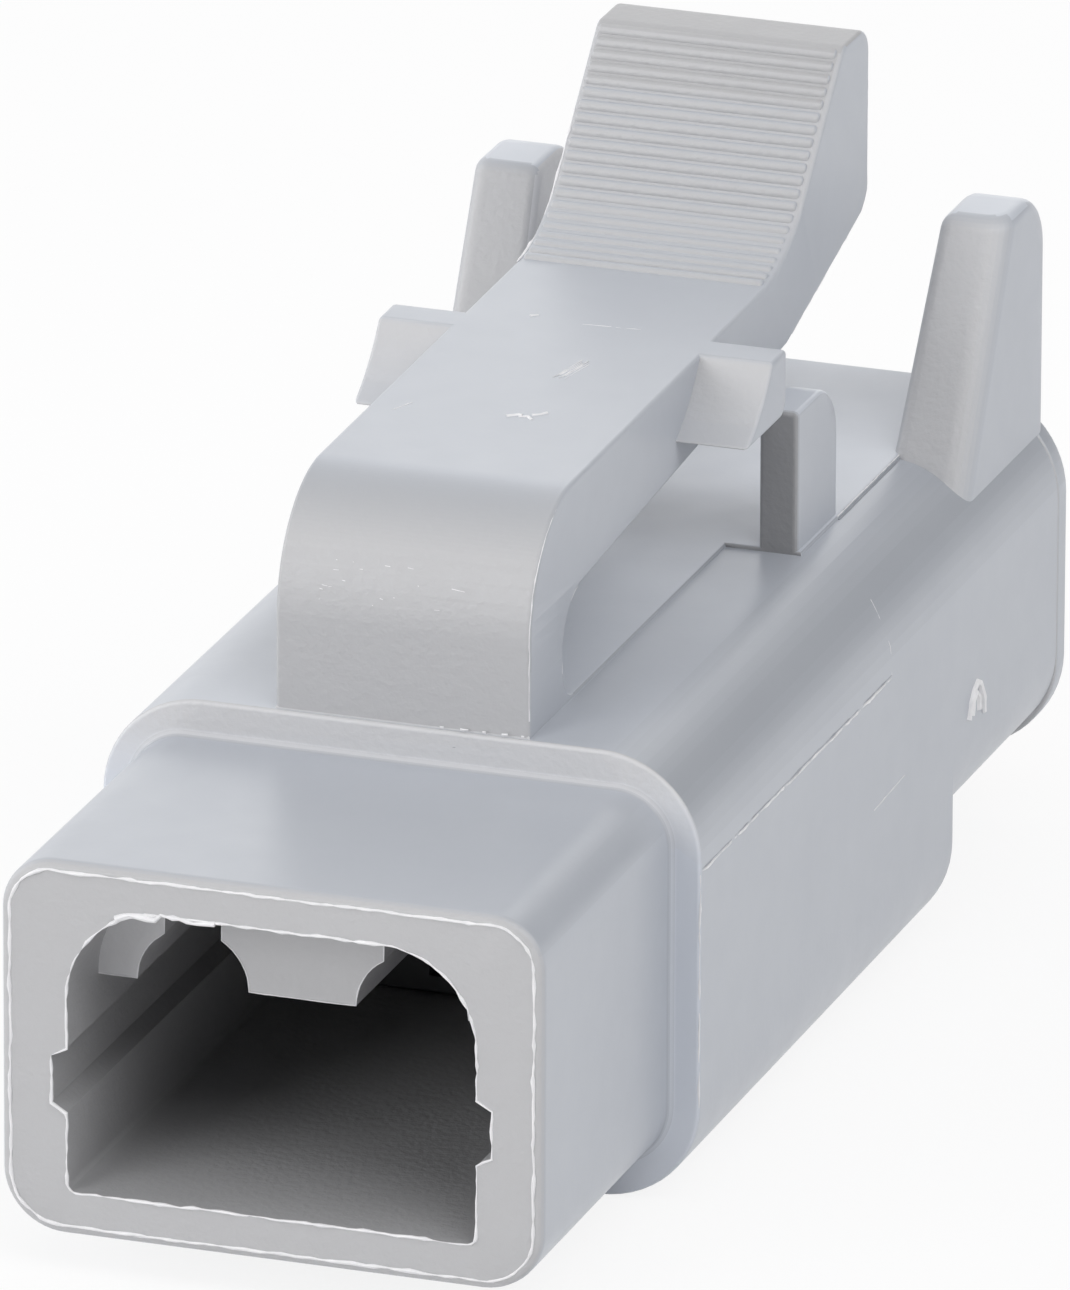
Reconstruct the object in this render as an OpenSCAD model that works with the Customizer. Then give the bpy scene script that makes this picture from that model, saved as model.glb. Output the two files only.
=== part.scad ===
// Two-way sealed connector, receptacle half. X is the width, Y runs from the shroud's rim
// (low Y) to the wire side (high Y), Z is up from the flat underside of the body.

/* [Body] */
// Overall length, from the rim of the shroud to the rear face
length = 42.3; // [41:0.1:46]
// Width of the body
body_w = 17.2; // [16.8:0.1:19]
// Height of the body, without the raised deck
body_h = 12.85; // [12.6:0.05:14]
// Radius of the body's long edges
body_r = 2.9; // [2.4:0.1:3.2]
// Height of the raised deck under the latch
deck_rise = 0.1; // [0.05:0.05:0.4]
// Half width of the deck behind the posts
deck_half_w = 5.85; // [5.75:0.05:6]
// Length of the rear section with the raised underside
rear_len = 10; // [9.6:0.1:12]
// How far the rear section's underside is raised
rear_lift = 2.45; // [1.5:0.05:2.6]
// Length of the lip round the rear face
lip_len = 0.75; // [0.5:0.05:1]
// How far the lip hangs below the rear section
lip_drop = 0.25; // [0.1:0.05:0.5]

/* [Shroud] */
// Length of the shroud in front of the body
shroud_len = 10.3; // [9:0.1:11]
// Width of the shroud
shroud_w = 15.4; // [14.6:0.1:16]
// Height of the shroud
shroud_h = 10.7; // [10.3:0.1:11]
// Height of the shroud's underside above the body's
shroud_z = 1.1; // [0.9:0.05:1.3]
// Radius of the shroud's long edges
shroud_r = 1.6; // [1:0.1:2.2]
// Width of the mouth
mouth_w = 11.65; // [11.4:0.05:12.2]
// Height of the mouth
mouth_h = 8.25; // [8:0.05:8.4]
// Height of the mouth's floor above the body's underside
mouth_z = 2.35; // [2.2:0.05:2.6]
// Radius of the mouth's upper corners
mouth_r = 2.7; // [1.8:0.05:2.8]
// Depth of the mouth, from the rim to the contact block
mouth_depth = 19; // [17:0.5:20]
// How far the keying ribs stand back from the rim
rib_recess = 2.5; // [1.5:0.1:4]
// Radius of the two arches between the keying ribs
arch_r = 1.6; // [1.5:0.05:1.8]
// Width of the slot over each arch
arch_slot_w = 1.63; // [1.2:0.01:2]
// Depth of the key groove in each side wall
side_key_depth = 0.43; // [0.2:0.01:0.8]
// Height of the key groove
side_key_h = 1.85; // [1.4:0.05:2]
// Height of the key groove above the mouth's floor
side_key_z = 2.28; // [1.8:0.01:2.6]
// Slant of the key groove's upper and lower side
side_key_slant = 0.25; // [0:0.05:0.4]

/* [Contacts] */
// Distance between the two contacts
contact_pitch = 6.24; // [6:0.02:6.6]
// Height of the contacts above the body's underside
contact_z = 7.75; // [7.5:0.05:7.85]
// Radius of the contact's pin
pin_r = 0.5; // [0.4:0.05:0.6]
// Length of the pin in front of the contact block
pin_len = 9.5; // [7:0.5:10]
// Length of the pin's pointed tip
point_len = 0.6; // [0.3:0.1:1]
// Length of the cone between the pin and its barrel
neck_len = 0.3; // [0.2:0.1:0.8]
// Radius of the contact's barrel
barrel_r = 0.95; // [0.85:0.05:1]
// Radius of the contact's locking collar
collar_r = 1.3; // [1.2:0.05:1.35]
// Length of the locking collar
collar_len = 1.2; // [0.8:0.1:1.5]
// Radius of the crimp barrel's bore
crimp_r = 0.6; // [0.4:0.05:0.7]
// Depth of the crimp barrel's bore
crimp_depth = 6; // [4:0.5:6.5]
// Length of the narrow throat at the front of a contact cavity
throat_len = 2; // [1.5:0.1:2.4]
// Radius of a contact cavity behind its throat
cavity_r = 1.45; // [1.4:0.05:1.6]
// Gap between a contact's barrel and the throat
contact_gap = 0.1; // [0.05:0.05:0.2]

/* [Wedge lock] */
// Thickness of the wedge lock's front plate
plate_t = 1.8; // [1.2:0.1:2.5]
// Width of the tongue
tongue_w = 9.4; // [9:0.1:10]
// Thickness of the tongue
tongue_t = 1; // [0.8:0.1:1.1]
// Length of the tongue
tongue_len = 5.5; // [4.5:0.1:6]
// Height of the tongue above the mouth's floor
tongue_z = 1.65; // [1.5:0.05:1.7]
// Gap between the wedge lock and the housing
wedge_gap = 0.1; // [0.05:0.05:0.15]
// Width of a locking finger
finger_w = 1.6; // [1.2:0.1:1.8]
// Thickness of a locking finger
finger_t = 0.75; // [0.6:0.05:0.8]
// Gap on each side of a locking finger
finger_gap = 0.3; // [0.2:0.05:0.4]
// Depth of the finger's window in the contact block
finger_depth = 7; // [6.5:0.1:8]
// Height of the nose on a finger's free end
nose_h = 0.65; // [0.5:0.05:0.7]

/* [Wire seal] */
// Width of the seal's pocket in the rear face
pocket_w = 13.8; // [13:0.1:14.2]
// Height of the pocket
pocket_h = 7.2; // [6.6:0.1:7.4]
// Radius of the pocket's corners
pocket_r = 3; // [2:0.1:3.2]
// Depth of the pocket
pocket_depth = 9; // [8.5:0.1:10]
// Length of the seal
seal_len = 7.6; // [6:0.1:8]
// Number of sealing ribs round the seal
seal_ribs = 3; // [2:1:4]
// How far the sealing ribs stand out
seal_rib_h = 0.35; // [0.2:0.05:0.5]
// Gap between the sealing ribs and the pocket
seal_gap = 0.05; // [0.02:0.01:0.1]
// Radius of a wire hole through the seal
wire_r = 0.75; // [0.5:0.05:1]

/* [Latch] */
// Width of the lever
lever_w = 7.3; // [6.5:0.1:7.6]
// How far the leg stands behind the flange face
leg_y = 0.15; // [0:0.05:0.5]
// Thickness of the leg
leg_t = 2.75; // [2.4:0.05:3]
// Outer radius of the bend
bend_r = 3.5; // [3:0.1:3.8]
// Inner radius of the bend
bend_in_r = 1.6; // [1.4:0.1:1.8]
// Radius of the fillet behind the leg's foot
foot_r = 0.85; // [0.4:0.05:1]
// Height of the arm's top over the deck, at the bend
arm_top = 6.1; // [5.8:0.1:6.5]
// Height of the arm's underside over the deck, at the bend
arm_under = 3; // [2.9:0.1:3.3]
// How much the arm's top rises as far as the ramp
arm_rise = 0.28; // [0:0.02:0.5]
// How much the arm's underside rises as far as the thumb piece
under_rise = 1.1; // [0.5:0.1:1.3]
// Length of the arm, from the flange face to the start of the ramp
arm_len = 19.8; // [18:0.1:20.5]
// Height of the thumb piece over the deck
thumb_top = 11.3; // [10:0.1:12]
// Place of the thumb piece's rear face behind the flange face
thumb_end = 28.85; // [27.8:0.05:29.5]
// Radius of the thumb piece's upper rear edge
thumb_r = 0.8; // [0.4:0.1:1.1]
// Angle of the thumb ramp
ramp_angle = 45; // [40:1:50]
// Radius of the hollow at the foot of the ramp
ramp_r = 4.6; // [3:0.1:5]
// How far behind the ramp's start the thumb piece's underside begins
under_lag = 2; // [1:0.1:3]
// How much the thumb piece's underside rises as far as its rear face
heel_rise = 1.8; // [1.5:0.1:2.5]
// Chamfer of the thumb piece's lower rear edge
heel_cut = 0.45; // [0.2:0.05:0.8]
// Number of grip ribs on the ramp, as far as it has room for them
grip_ribs = 21; // [12:1:24]
// Distance between two grip ribs along the ramp
grip_pitch = 0.4; // [0.36:0.01:0.41]
// Radius of a grip rib
grip_r = 0.19; // [0.12:0.01:0.2]
// How far the centre of a grip rib lies under the ramp's surface
grip_sink = 0.07; // [0:0.01:0.1]
// Smooth margin beside the grip ribs
grip_margin = 0.25; // [0.2:0.05:0.8]

/* [Lugs and posts] */
// How far a lug stands out from the lever's side
lug_w = 2.1; // [1.6:0.1:2.2]
// Place of the lugs' locking face behind the flange face
lug_end = 15.5; // [15:0.1:16]
// Length of a lug along its underside
lug_len = 3.5; // [3:0.1:4.5]
// Length of a lug along its top
lug_top_len = 1.2; // [0.9:0.05:1.6]
// Height of a lug's underside over the deck
lug_z = 4.4; // [4.2:0.1:4.8]
// Height of the blunt front edge of a lug
lug_lip = 0.15; // [0.1:0.05:0.3]
// Radius of the hollow ramp on a lug's front
lug_ramp_r = 6; // [4:0.5:8]
// Radius of the lug's lower rear edge
lug_r = 0.5; // [0.2:0.1:0.7]
// Gap between a lug's locking face and the post behind it
post_gap = 1.05; // [0.8:0.05:1.2]
// Gap between the lever's side and the post, seen from above
post_side_gap = 0.95; // [0.8:0.05:1]
// Width of a post
post_w = 1.13; // [0.9:0.01:1.2]
// Length of a post
post_len = 3.5; // [2.5:0.1:4]
// Height of a post over the deck
post_h = 4.05; // [3.5:0.05:4.1]
// Radius of a post's upper rear edge
post_r = 1.7; // [1:0.1:2]

/* [Guard fins] */
// Thickness of a fin at the deck
fin_w = 2.4; // [1.8:0.1:2.5]
// How much a fin's inner side leans in by its top
fin_taper = 0.38; // [0.2:0.01:0.6]
// Height of a fin over the deck
fin_h = 6.1; // [5:0.1:6.5]
// Length of a fin at the deck
fin_len = 6.7; // [5.5:0.1:7]
// Length of a fin's flat top, in front of its rounded rear edge
fin_top_len = 1.8; // [1:0.1:2.2]
// Radius of a fin's upper rear edge
fin_r = 1.7; // [1:0.1:2]
// How far a fin's outer side stands in from the body's side
fin_inset = 0.65; // [0.5:0.05:0.8]
// How far a fin's rear face stands in front of the housing's rear face
fin_back = 0.15; // [0:0.05:0.8]

/* [Hidden] */
$fn = 64;
weld = 0.4;                                   // overlap of forms that are one moulding
past = 1;                                     // how far a cut runs past a face
rim_y = -length / 2;
rear_y = length / 2;
flange_y = rim_y + shroud_len;
step_y = rear_y - rear_len;
block_y = rim_y + mouth_depth;                // front face of the contact block
pocket_y = rear_y - pocket_depth;             // floor of the seal's pocket
deck_z = body_h + deck_rise;
mouth_top = mouth_z + mouth_h;
lever_half = lever_w / 2;
lug_y = flange_y + lug_end;                   // locking face of the lugs
post_y = lug_y + post_gap;
post_x = lever_half + post_side_gap;          // inner side of a post
fin_end = rear_y - fin_back;                  // rear face of the fins
fin_out = body_w / 2 - fin_inset;             // outer side of a fin
tongue_low = mouth_z + tongue_z;
slot_top = tongue_low + tongue_t + wedge_gap; // roof of the tongue's slot
ramp_y = flange_y + arm_len;                  // start of the thumb ramp, and its height
ramp_z = deck_z + arm_top + arm_rise;
hollow_len = ramp_r * ramp_angle * PI / 180;  // length of the ramp's hollow along its surface
hollow_y = ramp_y + ramp_r * sin(ramp_angle); // end of the hollow
hollow_z = ramp_z + ramp_r * (1 - cos(ramp_angle));
slope_rise = deck_z + thumb_top - hollow_z;   // height of the straight slope over the hollow
ramp_len = hollow_len + slope_rise / sin(ramp_angle);
housing_grey = "#b5b8be";
lever_grey = "#bdbfc5";
wedge_charcoal = "#3a3b3e";
contact_grey = "#c9c6bd";
seal_red = "#c9603f";

// Extrudes an outline drawn as X and Z, from y0 for a length of len
module along_y(y0, len) {
    translate([0, y0 + len, 0]) rotate([90, 0, 0]) linear_extrude(len) children();
}

// Extrudes an outline drawn as Y and Z over the width w, centred on x
module across_x(x, w) {
    translate([x, 0, 0]) rotate([90, 0, 90]) linear_extrude(w, center = true) children();
}

// Rectangle centred on X, standing on low, with four round corners
module rounded(w, h, r, low) {
    translate([-w / 2, low + r]) square([w, h - 2 * r]);
    translate([-w / 2 + r, low]) square([w - 2 * r, h]);
    for (x = [-1, 1], z = [low + r, low + h - r])
        translate([x * (w / 2 - r), z]) circle(r);
}

// Outline of the plain mouth at the rim: square below, round at the upper corners
module mouth_outline(gap) {
    w = mouth_w - 2 * gap;
    translate([-w / 2, mouth_z + gap]) square([w, mouth_h - mouth_r - gap]);
    translate([-w / 2 + mouth_r, mouth_z + gap]) square([w - 2 * mouth_r, mouth_h - 2 * gap]);
    for (x = [-1, 1])
        translate([x * (w / 2 - mouth_r), mouth_top - gap - mouth_r]) circle(mouth_r);
}

// Key grooves in the two side walls, narrower at their floor than at their mouth
module side_keys(gap) {
    half = mouth_w / 2 + side_key_depth - gap;
    low = mouth_z + side_key_z + gap;
    high = low + side_key_h - 2 * gap;
    inner = half - side_key_depth;
    polygon([[-inner, low], [inner, low], [half, low + side_key_slant],
             [half, high - side_key_slant], [inner, high], [-inner, high],
             [-half, high - side_key_slant], [-half, low + side_key_slant]]);
}

// Outline behind the ribs' front: open below the contacts, with an arch and a slot over each
module keyed_outline(gap) {
    intersection() {
        mouth_outline(gap);
        union() {
            translate([-mouth_w / 2, mouth_z]) square([mouth_w, contact_z - gap - mouth_z]);
            for (x = [-1, 1]) translate([x * contact_pitch / 2, contact_z]) {
                circle(arch_r - gap);
                translate([-arch_slot_w / 2 + gap, 0]) square([arch_slot_w - 2 * gap, mouth_h]);
            }
        }
    }
    side_keys(gap);
}

// Plain outer form of the shroud and the body
module shell() {
    along_y(rim_y, shroud_len + weld) rounded(shroud_w, shroud_h, shroud_r, shroud_z);
    along_y(flange_y, step_y - flange_y) rounded(body_w, body_h, body_r, 0);
    along_y(step_y - weld, rear_len + weld)
        rounded(body_w, body_h - rear_lift, body_r, rear_lift);
    along_y(rear_y - lip_len, lip_len)
        rounded(body_w, body_h - rear_lift + lip_drop, body_r, rear_lift - lip_drop);
}

// Raised flat deck: as wide as the lever as far as the posts, wider from there to the rear
module deck() {
    translate([-lever_half, flange_y + leg_y, body_h - weld])
        cube([lever_w, post_y - flange_y - leg_y + weld, deck_rise + weld]);
    translate([-deck_half_w, post_y, body_h - weld])
        cube([2 * deck_half_w, rear_y - post_y, deck_rise + weld]);
}

// Square post behind each lug, with a round upper rear edge
module post(side) {
    end = post_y + post_len;
    across_x(side * (post_x + post_w / 2), post_w) translate([0, deck_z]) {
        translate([post_y, -weld]) square([post_len, post_h - post_r + weld]);
        translate([post_y, -weld]) square([post_len - post_r, post_h + weld]);
        translate([end - post_r, post_h - post_r]) circle(post_r);
    }
}

// Tall fin at a rear corner: leaning front, flat top, upright outer side and rear
module fin(side) {
    low = -body_r / 2;                        // its root lies inside the body's round edge
    slope = (fin_len - fin_top_len - fin_r) / fin_h;
    front = fin_end - fin_len;
    flat_y = fin_end - fin_r;                 // start of the rounded rear edge
    intersection() {
        across_x(side * (fin_out - fin_w / 2), fin_w) translate([0, deck_z]) {
            polygon([[front + slope * low, low], [flat_y, low], [flat_y, fin_h],
                     [flat_y - fin_top_len, fin_h]]);
            translate([flat_y - weld, low]) square([fin_r + weld, fin_h - fin_r - low]);
            translate([flat_y, fin_h - fin_r]) circle(fin_r);
        }
        along_y(step_y - past, rear_len + past) translate([0, deck_z])
            polygon([[side * (fin_out - fin_w), low], [side * fin_out, low],
                     [side * fin_out, fin_h], [side * (fin_out - fin_w + fin_taper), fin_h]]);
    }
}

// Stepped bore for one contact, with the window that frees its locking finger
module contact_cavity(x) {
    window_w = finger_w + 2 * finger_gap;
    translate([x, 0, contact_z]) rotate([-90, 0, 0]) {
        translate([0, 0, block_y - past])
            cylinder(r = barrel_r + contact_gap, h = throat_len + 2 * past);
        translate([0, 0, block_y + throat_len])
            cylinder(r = cavity_r, h = pocket_y - block_y - throat_len + past);
    }
    difference() {
        translate([x - window_w / 2, block_y + throat_len, slot_top - weld])
            cube([window_w, finger_depth - throat_len, contact_z - slot_top + weld]);
        locking_finger(x);
    }
}

// Flexible finger, rooted at the back of its window, whose nose stands behind the collar
module locking_finger(x) {
    root = block_y + finger_depth + weld;
    tip = block_y + throat_len + collar_len + contact_gap;
    across_x(x, finger_w) translate([0, slot_top])
        polygon([[tip, 0], [root, 0], [root, finger_t], [tip + 3 * nose_h, finger_t],
                 [tip + nose_h, finger_t + nose_h], [tip, finger_t + nose_h]]);
}

// Slot under the fingers, which the wedge lock's tongue fills
module tongue_slot() {
    w = tongue_w + 2 * wedge_gap;
    translate([-w / 2, block_y - past, tongue_low - wedge_gap])
        cube([w, tongue_len + wedge_gap + past, slot_top - tongue_low + wedge_gap]);
}

// Housing: shroud, body, posts, fins, cavities and the pocket for the seal, one moulding
module receptacle_housing() {
    color(housing_grey) difference() {
        union() {
            shell();
            deck();
            for (side = [-1, 1]) {
                post(side);
                fin(side);
            }
        }
        along_y(rim_y - past, rib_recess + past) {
            mouth_outline(0);
            side_keys(0);
        }
        along_y(rim_y + rib_recess - weld, mouth_depth - rib_recess + weld) keyed_outline(0);
        tongue_slot();
        for (side = [-1, 1]) contact_cavity(side * contact_pitch / 2);
        along_y(pocket_y, pocket_depth + past)
            rounded(pocket_w, pocket_h, pocket_r, contact_z - pocket_h / 2);
    }
}

// Side view of the lever: leg, bend, arm and thumb piece
module lever_profile() {
    front_y = flange_y + leg_y;               // front face of the leg
    back_y = front_y + leg_t;                 // its rear face
    in_y = back_y + bend_in_r;                // centre of the inner bend
    under_z = deck_z + arm_under;
    top_z = deck_z + arm_top;
    in_z = under_z - bend_in_r;
    out_y = front_y + bend_r;                 // centre of the outer bend
    end_y = flange_y + thumb_end;
    end_z = deck_z + thumb_top;
    heel_y = ramp_y + under_lag;              // start of the thumb piece's underside
    heel_z = under_z + under_rise + heel_rise;
    crest_y = hollow_y + slope_rise / tan(ramp_angle);
    meet_y = ramp_y + ramp_r * tan(ramp_angle / 2);
    // Leg with the fillet behind its foot
    translate([front_y, deck_z]) square([leg_t, arm_top - bend_r]);
    difference() {
        translate([back_y - weld, deck_z]) square([foot_r + weld, foot_r]);
        translate([back_y + foot_r, deck_z + foot_r]) circle(foot_r);
    }
    // Bend, its inner side hollowed by the smaller circle
    difference() {
        intersection() {
            translate([out_y, top_z - bend_r]) circle(bend_r);
            translate([front_y, in_z]) square([in_y - front_y, top_z - in_z]);
        }
        translate([in_y, in_z]) circle(bend_in_r);
    }
    // Arm and the solid wedge under the thumb ramp
    polygon([[out_y, top_z], [out_y, under_z + bend_in_r], [in_y, under_z],
             [heel_y, under_z + under_rise], [end_y - heel_cut, heel_z],
             [end_y, heel_z + heel_cut], [end_y, end_z - thumb_r], [end_y - thumb_r, end_z],
             [crest_y, end_z], [hollow_y, hollow_z], [meet_y, ramp_z], [ramp_y, ramp_z]]);
    translate([end_y - thumb_r, end_z - thumb_r]) circle(thumb_r);
    // Hollow at the foot of the ramp
    difference() {
        polygon([[ramp_y, ramp_z], [meet_y, ramp_z], [hollow_y, hollow_z]]);
        translate([ramp_y, ramp_z + ramp_r]) circle(ramp_r);
    }
}

// Centre of a grip rib whose distance along the ramp is s: first round the hollow, then up
// the straight slope
function grip_at(s) =
    s < hollow_len
        ? let (a = s / ramp_r * 180 / PI, r = ramp_r + grip_sink)
            [ramp_y + r * sin(a), ramp_z + ramp_r - r * cos(a)]
        : [hollow_y + (s - hollow_len) * cos(ramp_angle) + grip_sink * sin(ramp_angle),
           hollow_z + (s - hollow_len) * sin(ramp_angle) - grip_sink * cos(ramp_angle)];

// Lug on one side of the lever: hollow ramp in front, upright locking face behind
module lug(side) {
    top = arm_top + arm_rise * lug_end / arm_len;
    chord = [lug_len - lug_top_len, top - lug_z - lug_lip];  // from the blunt edge to the top
    reach = sqrt(lug_ramp_r * lug_ramp_r - chord * chord / 4) / norm(chord);
    middle = [-lug_len, lug_z + lug_lip] + chord / 2;
    across_x(side * (lever_half + lug_w / 2 - weld / 2), lug_w + weld)
        translate([lug_y, deck_z]) {
            difference() {
                translate([-lug_len, lug_z]) square([lug_len - lug_r, top - lug_z]);
                translate(middle + reach * [-chord[1], chord[0]]) circle(lug_ramp_r);
            }
            translate([-lug_r - weld, lug_z + lug_r])
                square([lug_r + weld, top - lug_z - lug_r]);
            translate([-lug_r, lug_z + lug_r]) circle(lug_r);
        }
}

// Latch lever: leg, bend, arm, lugs and ribbed thumb piece
module latch_lever() {
    ribs = min(grip_ribs, floor(ramp_len / grip_pitch));
    color(lever_grey) union() {
        across_x(0, lever_w) lever_profile();
        for (side = [-1, 1]) lug(side);
        for (i = [1 : ribs])
            across_x(0, lever_w - 2 * grip_margin)
                translate(grip_at(i * grip_pitch)) circle(grip_r, $fn = 16);
    }
}

// Wedge lock: plate that fills the keyed mouth in front of the block, and its tongue
module wedge_lock() {
    color(wedge_charcoal) difference() {
        union() {
            along_y(block_y - plate_t, plate_t) keyed_outline(wedge_gap);
            translate([-tongue_w / 2, block_y - weld, tongue_low])
                cube([tongue_w, tongue_len + weld, tongue_t]);
        }
        for (side = [-1, 1])
            translate([side * contact_pitch / 2, block_y - plate_t - past, contact_z])
                rotate([-90, 0, 0])
                    cylinder(r = barrel_r + contact_gap, h = plate_t + 2 * past);
    }
}

// Turned pin contact: pointed pin, barrel, locking collar and the crimp bore at the back
module contact(x) {
    shoulder = pin_len - plate_t;             // front of the barrel, flush with the wedge lock
    neck = shoulder - neck_len;               // front of the cone
    collar = pin_len + throat_len;            // front face of the collar, from the tip
    end = pin_len + pocket_y - block_y - throat_len;
    color(contact_grey) translate([x, block_y - pin_len, contact_z]) rotate([-90, 0, 0])
        difference() {
            union() {
                cylinder(r1 = pin_r / 2, r2 = pin_r, h = point_len);
                translate([0, 0, point_len]) cylinder(r = pin_r, h = neck - point_len);
                translate([0, 0, neck]) cylinder(r1 = pin_r, r2 = barrel_r, h = neck_len);
                translate([0, 0, shoulder]) cylinder(r = barrel_r, h = end - shoulder);
                translate([0, 0, collar]) cylinder(r = collar_r, h = collar_len);
            }
            translate([0, 0, end - crimp_depth]) cylinder(r = crimp_r, h = crimp_depth + past);
        }
}

module contact_pin_left() {
    contact(-contact_pitch / 2);
}

module contact_pin_right() {
    contact(contact_pitch / 2);
}

// Silicone seal in the rear pocket, with ribs round it and a hole for each wire
module wire_seal() {
    core_w = pocket_w - 2 * (seal_gap + seal_rib_h);
    core_h = pocket_h - 2 * (seal_gap + seal_rib_h);
    core_r = pocket_r - seal_rib_h;
    rib_step = seal_len / seal_ribs;
    rib_len = rib_step / 2;
    color(seal_red) difference() {
        union() {
            along_y(pocket_y, seal_len) rounded(core_w, core_h, core_r, contact_z - core_h / 2);
            for (i = [0 : seal_ribs - 1])
                along_y(pocket_y + (i + 0.5) * rib_step - rib_len / 2, rib_len)
                    rounded(pocket_w - 2 * seal_gap, pocket_h - 2 * seal_gap, pocket_r,
                            contact_z - pocket_h / 2 + seal_gap);
        }
        for (side = [-1, 1]) translate([side * contact_pitch / 2, pocket_y - past, contact_z])
            rotate([-90, 0, 0]) cylinder(r = wire_r, h = seal_len + 2 * past);
    }
}

receptacle_housing();
latch_lever();
wedge_lock();
contact_pin_left();
contact_pin_right();
wire_seal();
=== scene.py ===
import math

import bmesh
import bpy
from mathutils import Matrix, Vector, noise


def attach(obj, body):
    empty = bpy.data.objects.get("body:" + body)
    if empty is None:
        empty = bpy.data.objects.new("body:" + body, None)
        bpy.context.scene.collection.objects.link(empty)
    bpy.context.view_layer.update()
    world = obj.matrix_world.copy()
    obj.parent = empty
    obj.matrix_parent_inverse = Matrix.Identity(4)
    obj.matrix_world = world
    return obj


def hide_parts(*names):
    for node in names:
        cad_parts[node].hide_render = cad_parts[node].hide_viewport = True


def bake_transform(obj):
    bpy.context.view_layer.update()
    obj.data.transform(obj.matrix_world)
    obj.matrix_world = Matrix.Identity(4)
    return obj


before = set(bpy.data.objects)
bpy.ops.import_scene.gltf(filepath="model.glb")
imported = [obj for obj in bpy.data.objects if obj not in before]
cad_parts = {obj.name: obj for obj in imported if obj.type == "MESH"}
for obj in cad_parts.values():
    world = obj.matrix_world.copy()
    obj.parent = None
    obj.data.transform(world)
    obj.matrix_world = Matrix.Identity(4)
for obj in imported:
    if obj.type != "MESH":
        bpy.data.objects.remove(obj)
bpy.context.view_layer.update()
MM = 0.001

# Camera: a long lens, as for a catalogue picture, that looks down on the mating side from the
# right. The place it looks at lies 18 mm behind the rim of the shroud.
TARGET = Vector((0, -3.15, 9.0)) * MM
AZIMUTH, ELEVATION, ROLL = math.radians(19.288), math.radians(20.271), math.radians(0.174)
DISTANCE = 602.6 * MM
LENS, SENSOR, FAR_CLIP = 613.95, 36, 5
AIM_RIGHT, AIM_UP = 1.0996 * MM, 3.332 * MM

back = Vector((math.sin(AZIMUTH) * math.cos(ELEVATION), -math.cos(AZIMUTH) * math.cos(ELEVATION),
               math.sin(ELEVATION)))
right = Vector((math.cos(AZIMUTH), math.sin(AZIMUTH), 0))
up = back.cross(right)
eye = TARGET + back * DISTANCE
sight = (eye - (TARGET + right * AIM_RIGHT + up * AIM_UP)).normalized()
across = (right - sight * right.dot(sight)).normalized()
turn = Matrix((across, sight.cross(across), sight)).transposed().to_4x4()
camera = bpy.data.objects.new("camera", bpy.data.cameras.new("camera"))
camera.data.lens = LENS
camera.data.sensor_width = SENSOR
camera.data.clip_end = FAR_CLIP
camera.matrix_world = Matrix.Translation(eye) @ turn @ Matrix.Rotation(ROLL, 4, "Z")
bpy.context.scene.collection.objects.link(camera)
bpy.context.scene.camera = camera
bpy.context.scene.view_settings.view_transform = "Standard"

# Studio: a white tent that is dark round the lens, soft lamps at both sides, over the part and
# behind it, and a pale floor that is seen as white and keeps the part's shadow. Glossy faces
# mirror a white room with a gap behind the part. Both openings are given as a direction and the
# cosines between which they fade, and each lamp as its turn to the right of the mating side, its
# height in degrees, its watts and its size.
TENT = 0.4
PORT, PORT_RIM = (0.20, -0.96, 0.18), (0.72, 0.9)
GAP, GAP_RIM = (0.36, 0.89, 0.28), (0.9, 0.98)
LAMPS = {"front_left_lamp": (-29, 19, 1.84, 0.35), "front_right_lamp": (46, 50, 1.3, 0.35),
         "right_lamp": (88, 35, 0.92, 0.35), "top_lamp": (0, 70, 0.56, 0.35),
         "left_lamp": (-90, 20, 1.62, 0.35), "back_lamp": (180, 20, 0.42, 0.6),
         "back_left_lamp": (199, 20, 0.39, 0.6)}
LAMP_DISTANCE = 0.7
FLOOR_HALF, FLOOR_DROP, FLOOR_GLOW = 3, 0.02, 0.86


def linear(hex_colour):
    """Turns an sRGB hex colour into the linear values that a shader reads."""
    parts = [int(hex_colour[i:i + 2], 16) / 255 for i in (1, 3, 5)]
    return [p / 12.92 if p <= 0.04045 else ((p + 0.055) / 1.055) ** 2.4 for p in parts] + [1]


def add(tree, kind, inputs=None, **settings):
    """Adds a node with its settings. A value in inputs that is a socket is linked."""
    made = tree.nodes.new(kind)
    for name, value in settings.items():
        setattr(made, name, value)
    for name, value in (inputs or {}).items():
        if isinstance(value, bpy.types.NodeSocket):
            tree.links.new(value, made.inputs[name])
        else:
            made.inputs[name].default_value = value
    return made


def begin(name):
    """A new material with an empty node tree and its output."""
    made = bpy.data.materials.new(name)
    made.use_nodes = True
    made.node_tree.nodes.clear()
    return made, made.node_tree, made.node_tree.nodes.new("ShaderNodeOutputMaterial")


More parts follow.
